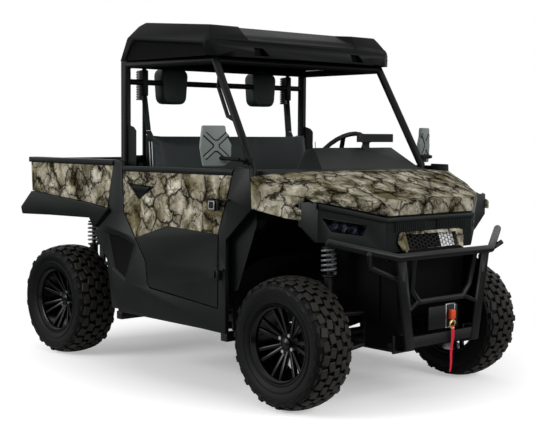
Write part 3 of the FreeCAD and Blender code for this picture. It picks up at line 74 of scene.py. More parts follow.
def add(tree, kind, settings=None, links=None):
    """Adds a node: settings name its properties or input values, links what feeds its inputs."""
    made = tree.nodes.new(kind)
    for key, value in (settings or {}).items():
        if isinstance(key, str) and hasattr(made, key):
            setattr(made, key, value)
        else:
            made.inputs[key].default_value = value
    for key, source in (links or {}).items():
        tree.links.new(source, made.inputs[key])
    return made


def new_material(name):
    """A material with its empty tree, and the Object coordinates that its patterns read."""
    material = bpy.data.materials.new(name)
    material.use_nodes = True
    tree = material.node_tree
    tree.nodes.clear()
    return material, tree, add(tree, "ShaderNodeTexCoord").outputs["Object"]


def as_mesh(bm, name):
    """Ends a bmesh and hands over its mesh."""
    mesh = bpy.data.meshes.new(name)
    bm.to_mesh(mesh)
    bm.free()
    return mesh


# The camera sees the paper brighten from 0.7 m to 1.7 m from its middle, and pure white
# from 2.6 m on, so that the floor has no edge.
WHITE = (1, 1, 1, 1)
floor_paint, tree, place = new_material("matt_white_studio_floor")
paper = add(tree, "ShaderNodeBsdfDiffuse", {"Color": linear("#ececec")})
ray = add(tree, "ShaderNodeLightPath")
reach = add(tree, "ShaderNodeVectorMath", {"operation": "LENGTH"}, {0: place})
share = add(tree, "ShaderNodeMapRange",
            {"From Min": 0.7, "From Max": 1.7, "To Min": 0.28, "To Max": 0.56},
            {"Value": reach.outputs["Value"]})
lift = add(tree, "ShaderNodeMath", {"operation": "MULTIPLY"},
           {0: ray.outputs["Is Camera Ray"], 1: share.outputs[0]})
haze = add(tree, "ShaderNodeEmission", {"Color": WHITE}, {"Strength": lift.outputs[0]})
near = add(tree, "ShaderNodeAddShader", links={0: paper.outputs[0], 1: haze.outputs[0]})
glow = add(tree, "ShaderNodeEmission", {"Color": WHITE}, {"Strength": ray.outputs["Is Camera Ray"]})
far = add(tree, "ShaderNodeMapRange", {"From Min": 1.5, "From Max": 2.6},
          {"Value": reach.outputs["Value"]})
both = add(tree, "ShaderNodeMixShader",
           links={0: far.outputs[0], 1: near.outputs[0], 2: glow.outputs[0]})
add(tree, "ShaderNodeOutputMaterial", links={"Surface": both.outputs[0]})
bm = bmesh.new()
bmesh.ops.create_grid(bm, x_segments=1, y_segments=1, size=30)
floor = placed("studio_floor", as_mesh(bm, "studio_floor"))
floor.data.materials.append(floor_paint)

world = bpy.data.worlds.new("studio")
world.use_nodes = True
tree = world.node_tree
tree.nodes.clear()
ray = add(tree, "ShaderNodeLightPath")
clear = add(tree, "ShaderNodeMath", {"operation": "MAXIMUM"},
            {0: ray.outputs["Is Camera Ray"], 1: ray.outputs["Is Transmission Ray"]})
seen = add(tree, "ShaderNodeMath", {"operation": "MAXIMUM"},
           {0: clear.outputs[0], 1: ray.outputs["Is Glossy Ray"]})
plain = add(tree, "ShaderNodeBackground", {"Color": WHITE, "Strength": 0.36})
white = add(tree, "ShaderNodeBackground", {"Color": WHITE, "Strength": 1.0})
mix = add(tree, "ShaderNodeMixShader",
          links={0: seen.outputs[0], 1: plain.outputs[0], 2: white.outputs[0]})
add(tree, "ShaderNodeOutputWorld", links={"Surface": mix.outputs[0]})
bpy.context.scene.world = world

for name, place, size, power in (("top_lamp", (0.5, -0.5, 4.6), 4.0, 26),
                                 ("front_lamp", (5.5, 0.5, 2.6), 2.4, 125),
                                 ("side_lamp", (-1.5, -5.5, 2.6), 2.8, 210)):
    lamp = placed(name, bpy.data.lights.new(name, "AREA"))
    lamp.data.size = size
    lamp.data.energy = power
    lamp.location = place
    lamp.rotation_euler = (Vector((0, 0, 0.8)) - Vector(place)).to_track_quat("-Z", "Y").to_euler()


# Steel work. The frame, the arms, the roll cage and the brush guard are bent tube and
# laser-cut plate, welded, then powder coated in satin black that rounds each edge.
def joined(name, whole=True):
    """A copy of a CAD node, its triangles joined and, if whole, its flat faces made one."""
    bm = bmesh.new()
    bm.from_mesh(node[name].data)
    bmesh.ops.remove_doubles(bm, verts=bm.verts, dist=0.00002)
    if whole:
        bmesh.ops.dissolve_limit(bm, angle_limit=math.radians(0.6), verts=bm.verts, edges=bm.edges)
    return bm


def evaluated(draft):
    """The mesh that a draft's modifiers make."""
    depsgraph = bpy.context.evaluated_depsgraph_get()
    return bpy.data.meshes.new_from_object(draft.evaluated_get(depsgraph))


ROOM = 2.4                        # widths of rounding that the nearest edge has to hold
THIN_CORNER = math.radians(28)    # a thinner corner stays sharp


def rounded(bm, width, turn, segments):
    """Rounds the edges that turn sharply, and less where a short edge leaves little room."""
    weight = bm.edges.layers.float.new("bevel_weight_edge")
    for edge in bm.edges:
        if edge.is_manifold and edge.calc_face_angle(0.0) > math.radians(turn):
            room = min([other.calc_length() for vert in edge.verts for other in vert.link_edges
                        if other is not edge] + [1.0])
            corner = min([loop.calc_angle() for face in edge.link_faces for loop in face.loops
                          if loop.vert in edge.verts])
            edge[weight] = min(1.0, room / (ROOM * width)) if corner > THIN_CORNER else 0.0
    draft = placed("draft", as_mesh(bm, "draft"))
    edging = draft.modifiers.new("edging", "BEVEL")
    edging.limit_method = "WEIGHT"
    edging.width = width
    edging.segments = segments
    edging.use_clamp_overlap = False
    finished = evaluated(draft)
    bpy.data.objects.remove(draft)
    return finished


def fitted(name, mesh, materials, body, stands_for=(), smooth=40.0):
    """Makes a piece of a finished mesh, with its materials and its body."""
    mesh.polygons.foreach_set("use_smooth", [True] * len(mesh.polygons))
    mesh.set_sharp_from_angle(angle=math.radians(smooth))
    marks = [face.material_index for face in mesh.polygons]
    mesh.materials.clear()
    for material in materials:
        mesh.materials.append(material)
    mesh.polygons.foreach_set("material_index", marks)
    piece = placed(name, mesh)
    if stands_for:
        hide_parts(*stands_for)
    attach(piece, body)
    return piece


def eased(names, body, material, width, turn, smooth, segments=2):
    """Finishes CAD nodes as they come from the mould or the weld, with rounded edges."""
    for name in names:
        fitted(name + "_finish", rounded(joined(name), width, turn, segments), [material],
               body, (name,), smooth)


def coated(name, colour, dust, roughness, grain, bump, specular=0.2):
    """A hard coat or moulded skin: one colour with dust in faint patches of 200 mm, and a
    grain of the given width, drawn coarser than the real one so that it shows."""
    material, tree, place = new_material(name)
    patch = add(tree, "ShaderNodeTexNoise", {"Scale": 5.0, "Detail": 5.0}, {"Vector": place})
    tone = add(tree, "ShaderNodeMix", {"data_type": "RGBA", 6: linear(colour), 7: linear(dust)},
               {0: patch.outputs["Fac"]})
    pit = add(tree, "ShaderNodeTexNoise", {"Scale": 1 / grain, "Detail": 2.0}, {"Vector": place})
    relief = add(tree, "ShaderNodeBump", {"Strength": bump, "Distance": grain / 4},
                 {"Height": pit.outputs["Fac"]})
    gloss = add(tree, "ShaderNodeMapRange", {"To Min": roughness - 0.08, "To Max": roughness + 0.1},
                {"Value": patch.outputs["Fac"]})
    shader = add(tree, "ShaderNodeBsdfPrincipled", {"IOR": 1.5, "Specular IOR Level": specular},
                 {"Base Color": tone.outputs[2], "Roughness": gloss.outputs[0],
                  "Normal": relief.outputs[0]})
    add(tree, "ShaderNodeOutputMaterial", links={"Surface": shader.outputs[0]})
    return material


# Powder coat gives satin black with a soft orange peel, and a duller one on the cage.
powder_coat = coated("powder_coat_satin_black_steel", "#0d0e0e", "#161717", 0.4, 0.0018, 0.25)
cage_coat = coated("powder_coat_matt_black_tube", "#080909", "#0f1010", 0.45, 0.0018, 0.25, 0.12)
eased(("frame", "suspension_arms"), "chassis", powder_coat, 0.003, 50, 50)
eased(("cage",), "chassis", cage_coat, 0.004, 50, 50)
eased(("bumper",), "chassis", powder_coat, 0.004, 50, 50)


# Tyres. Four off-road tyres: a rounded rubber carcass with five staggered rows of
# square blocks, open shoulders, and a smooth black sidewall with two moulded rings.
def rubber(name, colour, dust):
    """Vulcanised rubber: one dark colour with dust in clouds of 55 mm over a fine pitted skin."""
    material, tree, place = new_material(name)
    cloud = add(tree, "ShaderNodeTexNoise", {"Scale": 18.0, "Detail": 6.0}, {"Vector": place})
    tone = add(tree, "ShaderNodeMix", {"data_type": "RGBA", 6: linear(colour), 7: linear(dust)},
               {0: cloud.outputs["Fac"]})
    pit = add(tree, "ShaderNodeTexNoise", {"Scale": 600.0, "Detail": 2.0}, {"Vector": place})
    relief = add(tree, "ShaderNodeBump", {"Strength": 0.3, "Distance": 0.0005},
                 {"Height": pit.outputs["Fac"]})
    shader = add(tree, "ShaderNodeBsdfPrincipled",
                 {"Roughness": 0.5, "IOR": 1.52, "Specular IOR Level": 0.1},
                 {"Base Color": tone.outputs[2], "Normal": relief.outputs[0]})
    add(tree, "ShaderNodeOutputMaterial", links={"Surface": shader.outputs[0]})
    return material


def made_piece(name, bm, material, body, stands_for=(), smooth=40.0):
    """Turns a finished bmesh into a piece."""
    bmesh.ops.recalc_face_normals(bm, faces=bm.faces)
    materials = material if isinstance(material, tuple) else (material,)
    return fitted(name, as_mesh(bm, name), materials, body, stands_for, smooth)


def spun(bm, profile, steps):
    """Turns a profile of (radius, y) points once round the axle."""
    rows = [bm.verts.new((radius, y, 0)) for radius, y in profile]
    edges = [bm.edges.new(pair) for pair in zip(rows, rows[1:])]
    bmesh.ops.spin(bm, geom=rows + edges, cent=(0, 0, 0), axis=(0, 1, 0), angle=2 * math.pi,
                   steps=steps, use_merge=True)


def bevelled(bm, edges, offset, segments, clamp=True):
    """Rounds some edges by an offset."""
    bmesh.ops.bevel(bm, geom=edges, offset=offset, offset_type="OFFSET", segments=segments,
                    profile=0.5, affect="EDGES", clamp_overlap=clamp, material=-1)


def lump(size, edge, taper=1.0, segments=1):
    """A block with rounded edges that may narrow towards +x, as a mesh to stamp."""
    bm = bmesh.new()
    made = bmesh.ops.create_cube(bm, size=1.0)["verts"]
    bmesh.ops.scale(bm, vec=size, verts=made)
    for vert in made:
        if vert.co.x > 0:
            vert.co.y *= taper
            vert.co.z *= taper
    if edge:
        bevelled(bm, bm.edges[:], edge, segments)
    return as_mesh(bm, "lump")


def at(x, y, z):
    return Matrix.Translation((x, y, z))


def turned(angle, axis):
    return Matrix.Rotation(angle, 4, axis)


def stamp(bm, shape, matrix):
    """Adds a copy of a small finished shape to a piece, at its place."""
    copy = shape.copy()
    copy.transform(matrix)
    bm.from_mesh(copy)
    bpy.data.meshes.remove(copy)


# The sidewall stays clean and dark, the blocks' faces are dusty and the grooves black.
sidewall_rubber = rubber("rubber_vulcanised_sidewall", "#050606", "#0a0b0b")
block_rubber = rubber("rubber_vulcanised_dusty_blocks", "#1c1c1a", "#34322e")
groove_rubber = rubber("rubber_vulcanised_grooves", "#020202", "#050505")
AXLE_Z, FRONT_AXLE_X, REAR_AXLE_X = 0.33, 0.967, -1.017
ROUND_STEPS = 72
GROOVE_R, TREAD_R, CROWN_R, CROWN_FALL = 0.297, 0.32, 0.3165, 0.016
# Each row of blocks: its share of the half width, its stagger and its slant.
TREAD_ROWS = ((-0.78, 0.5, 0.26), (-0.39, 0.0, 0.11), (0.0, 0.5, 0.0), (0.39, 0.0, -0.11),
              (0.78, 0.5, -0.26))
# Each wheel: its corner, the x and y of its middle, its width and its blocks in a row.
WHEELS = (("front_left", FRONT_AXLE_X, 0.6475, 0.235, 30),
          ("front_right", FRONT_AXLE_X, -0.6475, 0.235, 30),
          ("rear_left", REAR_AXLE_X, 0.6445, 0.265, 28),
          ("rear_right", REAR_AXLE_X, -0.6445, 0.265, 28))
for corner, axle_x, wheel_y, width, blocks in WHEELS:
    half = width / 2
    bm = bmesh.new()
    wall = [(0.203, half - 0.020), (0.212, half - 0.012), (0.228, half - 0.008),
            (0.232, half - 0.004), (0.236, half - 0.008), (0.252, half - 0.003), (0.270, half),
            (0.287, half - 0.003), (0.290, half - 0.0005), (0.294, half - 0.004),
            (0.303, half - 0.016), (0.310, half - 0.040), (0.314, 0.0)]
    profile = wall + [(radius, -y) for radius, y in reversed(wall[:-1])]
    spun(bm, profile + [profile[0]], ROUND_STEPS)
    for face in bm.faces:
        centre = face.calc_center_median()
        face.material_index = 2 if math.hypot(centre.x, centre.z) > GROOVE_R else 0
    long_block = 2 * math.pi * TREAD_R / blocks * 0.82
    square = lump((0.026, half * 0.34, long_block), 0.0035, 0.88)
    shoulder = lump((0.040, 0.016, 0.036), 0.003, 0.9)
    for shape in (square, shoulder):
        shape.polygons.foreach_set("material_index",
                                   [1 if face.normal.x > 0.5 else 2 for face in shape.polygons])
    for k in range(blocks):
        for share, shift, roll in TREAD_ROWS:
            turn = turned(2 * math.pi * (k + shift) / blocks, "Y")
            crown = CROWN_R - CROWN_FALL * share * share
            twist = turned(0.2 if k % 2 else -0.2, "X")
            stamp(bm, square, turn @ at(crown, share * (half - 0.024), 0) @
                  turned(-roll, "Z") @ twist)
        for sign in (-1, 1):
            turn = turned(2 * math.pi * (k + 0.5 + 0.25 * sign) / blocks, "Y")
            spot = (0.294 if k % 2 else 0.287, sign * (half - 0.012), 0)
            stamp(bm, shoulder, turn @ Matrix.Translation(spot) @
                  turned(-sign * 0.32, "Z"))
    bmesh.ops.translate(bm, vec=(axle_x, wheel_y, AXLE_Z), verts=bm.verts)
    made_piece("tyre_%s_tread" % corner, bm, (sidewall_rubber, block_rubber, groove_rubber),
               "wheel_" + corner, ("tyre_" + corner,), 30)


# Wheels. One-piece cast alloy wheels in gloss black: a deep barrel with a raised bead
# ring, seven pairs of thin spokes, and a plain domed cap inside four plated nuts.
def polished(name, marks, smooth, dull, settings):
    """A bright skin whose gloss wanders between two values, in marks of 1 / marks metres."""
    material, tree, place = new_material(name)
    mark = add(tree, "ShaderNodeTexNoise", {"Scale": marks}, {"Vector": place})
    gloss = add(tree, "ShaderNodeMapRange", {"To Min": smooth, "To Max": dull},
                {"Value": mark.outputs["Fac"]})
    shader = add(tree, "ShaderNodeBsdfPrincipled", settings, {"Roughness": gloss.outputs[0]})
    add(tree, "ShaderNodeOutputMaterial", links={"Surface": shader.outputs[0]})
    return material


def peg(bm, sides, foot, tip, depth, matrix):
    """Adds a capped peg along its own z, at its place."""
    made = bmesh.ops.create_cone(bm, cap_ends=True, segments=sides, radius1=foot, radius2=tip,
                                 depth=depth)["verts"]
    bmesh.ops.transform(bm, matrix=matrix, verts=made)


# Gloss enamel over the casting, and zinc plate that shines in uneven streaks.
gloss_black = coated("enamel_gloss_black_cast_alloy", "#050506", "#090a0b", 0.22, 0.003, 0.04, 0.2)
nut_steel = polished("steel_zinc_plated_bright", 180.0, 0.22, 0.4,
                     {"Base Color": linear("#b9bcc0"), "Metallic": 1.0})
SPOKE_PAIRS, SPOKE_LEAN, NUTS, NUT_CIRCLE_R = 7, 9, 4, 0.047
for corner, axle_x, wheel_y, width, _ in WHEELS:
    half = width / 2 - 0.020
    out = 1 if wheel_y > 0 else -1
    bm = bmesh.new()
    barrel = [(0.200, -half), (0.202, -half + 0.006), (0.190, -half + 0.014),
              (0.190, half - 0.014), (0.202, half - 0.006), (0.200, half), (0.192, half),
              (0.187, half - 0.012), (0.178, half - 0.018), (0.176, half - 0.030),
              (0.182, half - 0.040), (0.182, -half + 0.010), (0.192, -half), (0.200, -half)]
    spun(bm, barrel, ROUND_STEPS)
    spun(bm, [(0.0, 0.052), (0.022, 0.050), (0.030, 0.044), (0.034, 0.030), (0.058, 0.028),
              (0.066, 0.018), (0.066, -0.006), (0.0, -0.006)], 36)
    slant = math.atan2(half - 0.060, 0.136)
    arm = lump((0.152, 0.026, 0.017), 0.003, 1.0, 2)
    for k in range(SPOKE_PAIRS):
        for lean in (-SPOKE_LEAN, SPOKE_LEAN):
            turn = turned(math.radians(360 * k / SPOKE_PAIRS + lean), "Y")
            stamp(bm, arm, turn @ at(0.115, half / 2 - 0.010, 0) @ turned(slant, "Z"))
    bmesh.ops.scale(bm, vec=(1, out, 1), verts=bm.verts)
    bmesh.ops.translate(bm, vec=(axle_x, wheel_y, AXLE_Z), verts=bm.verts)
    made_piece("rim_%s_cast" % corner, bm, gloss_black, "wheel_" + corner,
               ("rim_" + corner,), 35)
    bm = bmesh.new()
    for k in range(NUTS):
        turn = turned(math.pi / 2 * k + 0.5, "Y")
        peg(bm, 6, 0.0105, 0.0095, 0.018, turn @
            at(NUT_CIRCLE_R, out * 0.034, 0) @ turned(math.pi / 2, "X"))
    bmesh.ops.translate(bm, vec=(axle_x, wheel_y, AXLE_Z), verts=bm.verts)
    made_piece("wheel_nuts_" + corner, bm, nut_steel, "wheel_" + corner)


# Suspension struts. Coil-over struts: a black damper tube and a rod inside a short
# silver coil spring, with a cup under the frame bar and a bush on the arm.
silver_coat = coated("enamel_silver_spring_steel", "#8d9092", "#707375", 0.3, 0.002, 0.1, 0.5)
damper_black = coated("anodised_black_damper_tube", "#101113", "#17181a", 0.3, 0.002, 0.1, 0.4)
STRUT_Y = 0.440
TURNS, STEPS_A_TURN, COIL_R, WIRE_R, COIL_FOOT_Z, COIL_HIGH = 5, 20, 0.0345, 0.0060, 0.660, 0.122
tube_bm = bmesh.new()
spun(tube_bm, [(0.0, 0.273), (0.016, 0.273), (0.016, 0.300), (0.022, 0.306), (0.022, 0.560),
               (0.025, 0.562), (0.025, 0.640), (0.037, 0.646), (0.037, 0.654), (0.012, 0.658),
               (0.012, 0.784), (0.036, 0.786), (0.036, 0.794), (0.016, 0.798), (0.015, 0.816),
               (0.0, 0.816)], 24)
bmesh.ops.remove_doubles(tube_bm, verts=tube_bm.verts, dist=0.00005)
damper = as_mesh(tube_bm, "damper")
dampers = bmesh.new()
springs = bmesh.new()
for strut_x in (1.011, -1.061):
    for out in (-1, 1):
        stamp(dampers, damper, at(strut_x, out * STRUT_Y, 0) @ turned(math.pi / 2, "X"))
        foot = (strut_x, out * STRUT_Y, COIL_FOOT_Z)
        steps = TURNS * STEPS_A_TURN
        ring = bmesh.ops.create_circle(springs, segments=8, radius=WIRE_R)["verts"]
        bmesh.ops.rotate(springs, verts=ring, matrix=Matrix.Rotation(math.pi / 2, 3, "X"))
        bmesh.ops.translate(springs, verts=ring, vec=(strut_x + COIL_R, foot[1], foot[2]))
        edges = list({edge for vert in ring for edge in vert.link_edges})
        bmesh.ops.spin(springs, geom=ring + edges, cent=foot, axis=(0, 0, 1),
                       angle=2 * math.pi * TURNS, steps=steps, dvec=(0, 0, COIL_HIGH / steps))
made_piece("strut_dampers", dampers, damper_black, "chassis", ("shocks",))
made_piece("strut_springs", springs, silver_coat, "chassis")


# Hubs and drive. Uprights, gear cases, half shafts and the steering rack are castings
# and turned bar, painted matt black over the rough skin of the sand mould.
cast_black = coated("cast_iron_matt_black", "#0a0b0b", "#131312", 0.6, 0.003, 0.5, 0.12)
eased(("driveline", "steering_gear"), "chassis", cast_black, 0.003, 50, 50)
eased(("steering_rack",), "steering_rack", cast_black, 0.002, 50, 50)
for side in ("left", "right"):
    eased(("knuckle_" + side,), "knuckle_" + side, cast_black, 0.003, 50, 50)


# Body plastics. Floor, nose, side panels, doors and bed are moulded in black plastic
# with a fine grain, and the mould leaves soft rounded edges and folds.
def pressed(bm, out, least_y, planes, width, depth):
    """Presses a panel into the flank past least_y: cuts the planes' lines into its faces, and
    sinks what lies on the side of every plane that its normal points to."""
    def flank():
        return [face for face in bm.faces if face.normal.y * out > 0.95
                and face.calc_center_median().y * out > least_y]
    for place, normal in planes:
        faces = flank()
        edges = list({edge for face in faces for edge in face.edges})
        corners = list({vert for face in faces for vert in face.verts})
        bmesh.ops.bisect_plane(bm, geom=faces + edges + corners, dist=0.00001, plane_co=place,
                               plane_no=normal)
    bm.normal_update()
    inner = [face for face in flank()
             if all((face.calc_center_median() - Vector(place)).dot(Vector(normal)) > 0
                    for place, normal in planes)]
    bmesh.ops.inset_region(bm, faces=inner, thickness=width, depth=-depth, use_even_offset=True)
    # The sunk faces take the panel's second material, which is painted shade.
    for face in inner:
        face.material_index = 1


# Moulded polypropylene: a low sheen over fine grain. A near-black copy is painted shade in recesses
# and openings, and a lighter, glossier copy on the nose is painted light.
grain_black = coated("moulded_polypropylene_black", "#0d0f0f", "#161818", 0.42, 0.0016, 0.3, 0.12)
painted_shade_black = coated("moulded_polypropylene_painted_shade", "#050505", "#090909", 0.6, 0.0016, 0.3, 0.05)
# The nose is the same plastic, painted lighter for the light that falls on the front, and a little
# glossier.
nose_painted_lighter_black = coated("moulded_polypropylene_satin_painted_lighter", "#141717", "#1e2222",
                    0.4, 0.0016, 0.3, 0.2)
eased(("cab_floor",), "chassis", grain_black, 0.004, 20, 32)
# The lower fascia between the lamps, below MOUTH_Z and within MOUTH_HALF of the middle, is painted
# near-black as shade.
MOUTH_Z, MOUTH_HALF = 0.772, 0.290
nose_bm = joined("nose")
for face in nose_bm.faces:
    centre = face.calc_center_median()
    face.material_index = 1 if centre.z < MOUTH_Z and abs(centre.y) < MOUTH_HALF else 0
fitted("nose_finish", rounded(nose_bm, 0.006, 20, 3), [nose_painted_lighter_black, painted_shade_black], "chassis",
       ("nose",), 32)
# A recess pressed into each rear quarter panel; its sunk faces are painted near-black as shade.
RECESS = ((-0.455, 0.785), (-0.330, 0.782), (-0.180, 0.735), (-0.268, 0.520), (-0.385, 0.575))
recess_planes = [((x0, 0, z0), (z1 - z0, 0, x0 - x1))
                 for (x0, z0), (x1, z1) in zip(RECESS, RECESS[1:] + RECESS[:1])]
sides = joined("body_sides")
for out in (-1, 1):
    pressed(sides, out, 0.767, recess_planes, 0.010, 0.012)
fitted("body_sides_finish", rounded(sides, 0.004, 20, 2), [grain_black, painted_shade_black], "chassis",
       ("body_sides",), 32)
eased(("bed_box",), "bed", grain_black, 0.006, 20, 32, 3)
eased(("tailgate",), "tailgate", grain_black, 0.006, 20, 32, 3)
for side in ("left", "right"):
    eased(("door_" + side,), "door_" + side, grain_black, 0.004, 20, 32)


# Cab fittings and small units. Dash, seat base, battery case and steering wheel are ABS
# with a soft grain, the winch is coated steel, and the tail lights are red mouldings.
dash_skin = coated("moulded_abs_soft_grain_black", "#131515", "#1c1e1e", 0.5, 0.0016, 0.3, 0.16)
red_lens = coated("polycarbonate_red_lens", "#7a0a0c", "#96141a", 0.2, 0.004, 0.1, 0.5)
eased(("dash", "seat_base"), "chassis", dash_skin, 0.006, 20, 32, 3)
eased(("battery_pack",), "chassis", dash_skin, 0.006, 20, 32, 3)
eased(("steering_wheel",), "steering_wheel", dash_skin, 0.003, 50, 50)
eased(("winch",), "chassis", powder_coat, 0.003, 50, 50)
eased(("tail_lights",), "bed", red_lens, 0.003, 20, 32)


# Wheel-well liners and shields. Thin matt black sheets of polyethylene behind the front
# wheels and round the winch, clipped to the frame: they keep stones off the gear.
def new_verts(made):
    """The corners among what an extrusion made."""
    return [item for item in made["geom"] if isinstance(item, bmesh.types.BMVert)]


def sheet_of(bm, points, thickness):
    """A flat sheet: a ring of points filled with one face and given its thickness."""
    face = bm.faces.new([bm.verts.new(point) for point in points])
    grown = bmesh.ops.extrude_face_region(bm, geom=[face])
    bmesh.ops.translate(bm, vec=thickness, verts=new_verts(grown))


def side_sheet(bm, y, outline, thickness):
    """An upright sheet along the vehicle at y, with its thickness towards the middle."""
    sheet_of(bm, [(x, y, z) for x, z in outline], (0, -math.copysign(thickness, y), 0))


liner_black = coated("polyethylene_sheet_matt_black", "#050505", "#0b0b0b", 0.7, 0.004, 0.4, 0.05)
WELL_Y, WELL_R, WELL_WIDE, SHEET = 0.318, 0.430, 0.400, 0.004
WELL_WALL = ((0.560, 0.440), (1.240, 0.440), (1.240, 0.770), (1.100, 0.800), (1.060, 0.900),
             (0.700, 0.900), (0.560, 0.700))
liners = bmesh.new()
for out in (-1, 1):
    # The arch over the wheel is one bare sheet, without thickness
    arch = [liners.verts.new((FRONT_AXLE_X + WELL_R * math.cos(math.radians(a)), out * WELL_Y,
                              AXLE_Z + WELL_R * math.sin(math.radians(a))))
            for a in range(96, 157, 6)]
    spine = [liners.edges.new(pair) for pair in zip(arch, arch[1:])]
    swept = bmesh.ops.extrude_edge_only(liners, edges=spine)
    bmesh.ops.translate(liners, vec=(0, out * WELL_WIDE, 0), verts=new_verts(swept))
    side_sheet(liners, out * WELL_Y, WELL_WALL, SHEET)
    sheet_of(liners, [(1.150, out * 0.316, 0.300), (1.350, out * 0.300, 0.306),
                      (1.360, out * 0.330, 0.700), (1.240, out * 0.316, 0.770),
                      (1.150, out * 0.316, 0.770)], (0, -out * SHEET, 0))
sheet_of(liners, [(1.262, -0.300, 0.345), (1.262, 0.300, 0.345), (1.262, 0.300, 0.445),
                  (1.262, -0.300, 0.445)], (-SHEET, 0, 0))
sheet_of(liners, [(1.150, -0.310, 0.300), (1.365, -0.290, 0.300), (1.365, 0.290, 0.300),
                  (1.150, 0.310, 0.300)], (0, 0, SHEET))
made_piece("wheel_well_liners", liners, liner_black, "chassis")


# Cab covers. Moulded black plates screwed to the cage: one inside each door's front edge
# closes the wedge to the fender, one beside each seat back guards the hip, one is the cowl.
PILLAR_PLATE = ((0.470, 0.520), (0.640, 0.560), (0.780, 0.900), (0.780, 1.120), (0.600, 1.120),
                (0.500, 0.860))
HIP_PLATE = ((-0.372, 1.405), (-0.284, 1.380), (-0.262, 1.360), (-0.262, 1.000), (-0.372, 1.000))
covers = bmesh.new()
for out in (-1, 1):
    side_sheet(covers, out * 0.716, PILLAR_PLATE, 0.003)
sheet_of(covers, [(0.720, -0.560, 0.950), (0.850, -0.560, 0.950), (0.850, 0.560, 0.950),
                  (0.720, 0.560, 0.950)], (0, 0, -0.003))
for out in (-1, 1):
    side_sheet(covers, out * 0.694, HIP_PLATE, SHEET)
made_piece("cab_side_covers", covers, grain_black, "chassis", (), 35)


# Roof. One vacuum-formed black sheet: two pods with a channel between, a crease along each
# flank, below it an arched recess painted near-black as shade, and front corners that droop.
roof_skin = coated("vacuum_formed_abs_black", "#0a0b0b", "#121313", 0.5, 0.0016, 0.25, 0.05)
# The arched panel below each crease is painted near-black, as shade.
shade = coated("vacuum_formed_abs_painted_shade", "#040404", "#080808", 0.7, 0.003, 0.3, 0.05)
ARCH_PLANES = (((-0.355, 0, 1.75), (0.85, 0, -0.53)), ((0.392, 0, 1.8), (-0.95, 0, -0.31)),
               ((-0.27, 0, 1.862), (-0.0774, 0, -1.0)), ((-0.285, 0, 1.84), (0.6, 0, -0.8)),
               ((0.330, 0, 1.83), (-0.75, 0, -0.66)))
DROOP, DROOP_X, DROOP_LONG, DROOP_Y, DROOP_WIDE = 0.055, 0.31, 0.12, 0.45, 0.25
RIM_Z, ABOVE_RIM_Z = 1.770, 1.775
roof_bm = joined("roof")
for plane_x in (0.33, 0.355, 0.38, 0.405):
    bmesh.ops.bisect_plane(roof_bm, geom=roof_bm.verts[:] + roof_bm.edges[:] + roof_bm.faces[:],
                           dist=0.00001, plane_co=(plane_x, 0, 0), plane_no=(1, 0, 0))
for out in (-1, 1):
    pressed(roof_bm, out, 0.69, ARCH_PLANES, 0.004, 0.014)
for vert in roof_bm.verts:
    ahead = min(1.0, max(0.0, (vert.co.x - DROOP_X) / DROOP_LONG))
    outward = min(1.0, max(0.0, (abs(vert.co.y) - DROOP_Y) / DROOP_WIDE))
    if vert.co.z > ABOVE_RIM_Z:
        vert.co.z = max(RIM_Z, vert.co.z - ahead ** 1.5 * outward ** 2 * DROOP)
roof_bm.normal_update()
fitted("roof_finish", rounded(roof_bm, 0.007, 22, 2), [roof_skin, shade], "chassis",
       ("roof",), 28)


# Headliner. A thin panel of black felt, which swallows the light, closes the roof's hollow
# over the roof rails, with a skirt along its rear edge.
felt = coated("polyester_felt_black", "#060606", "#0c0c0c", 0.85, 0.003, 0.6, 0.0)
LINER_Z = 1.7525
liner_bm = bmesh.new()
sheet_of(liner_bm, [(x, y, LINER_Z) for x, y in (
    (-0.370, -0.675), (0.320, -0.675), (0.360, -0.600), (0.385, -0.300), (0.385, 0.300),
    (0.360, 0.600), (0.320, 0.675), (-0.370, 0.675))], (0, 0, 0.003))
sheet_of(liner_bm, [(-0.372, y, z) for y, z in (
    (-0.674, 1.736), (0.674, 1.736), (0.674, 1.7545), (-0.674, 1.7545))], (-SHEET, 0, 0))
made_piece("headliner", liner_bm, felt, "chassis")


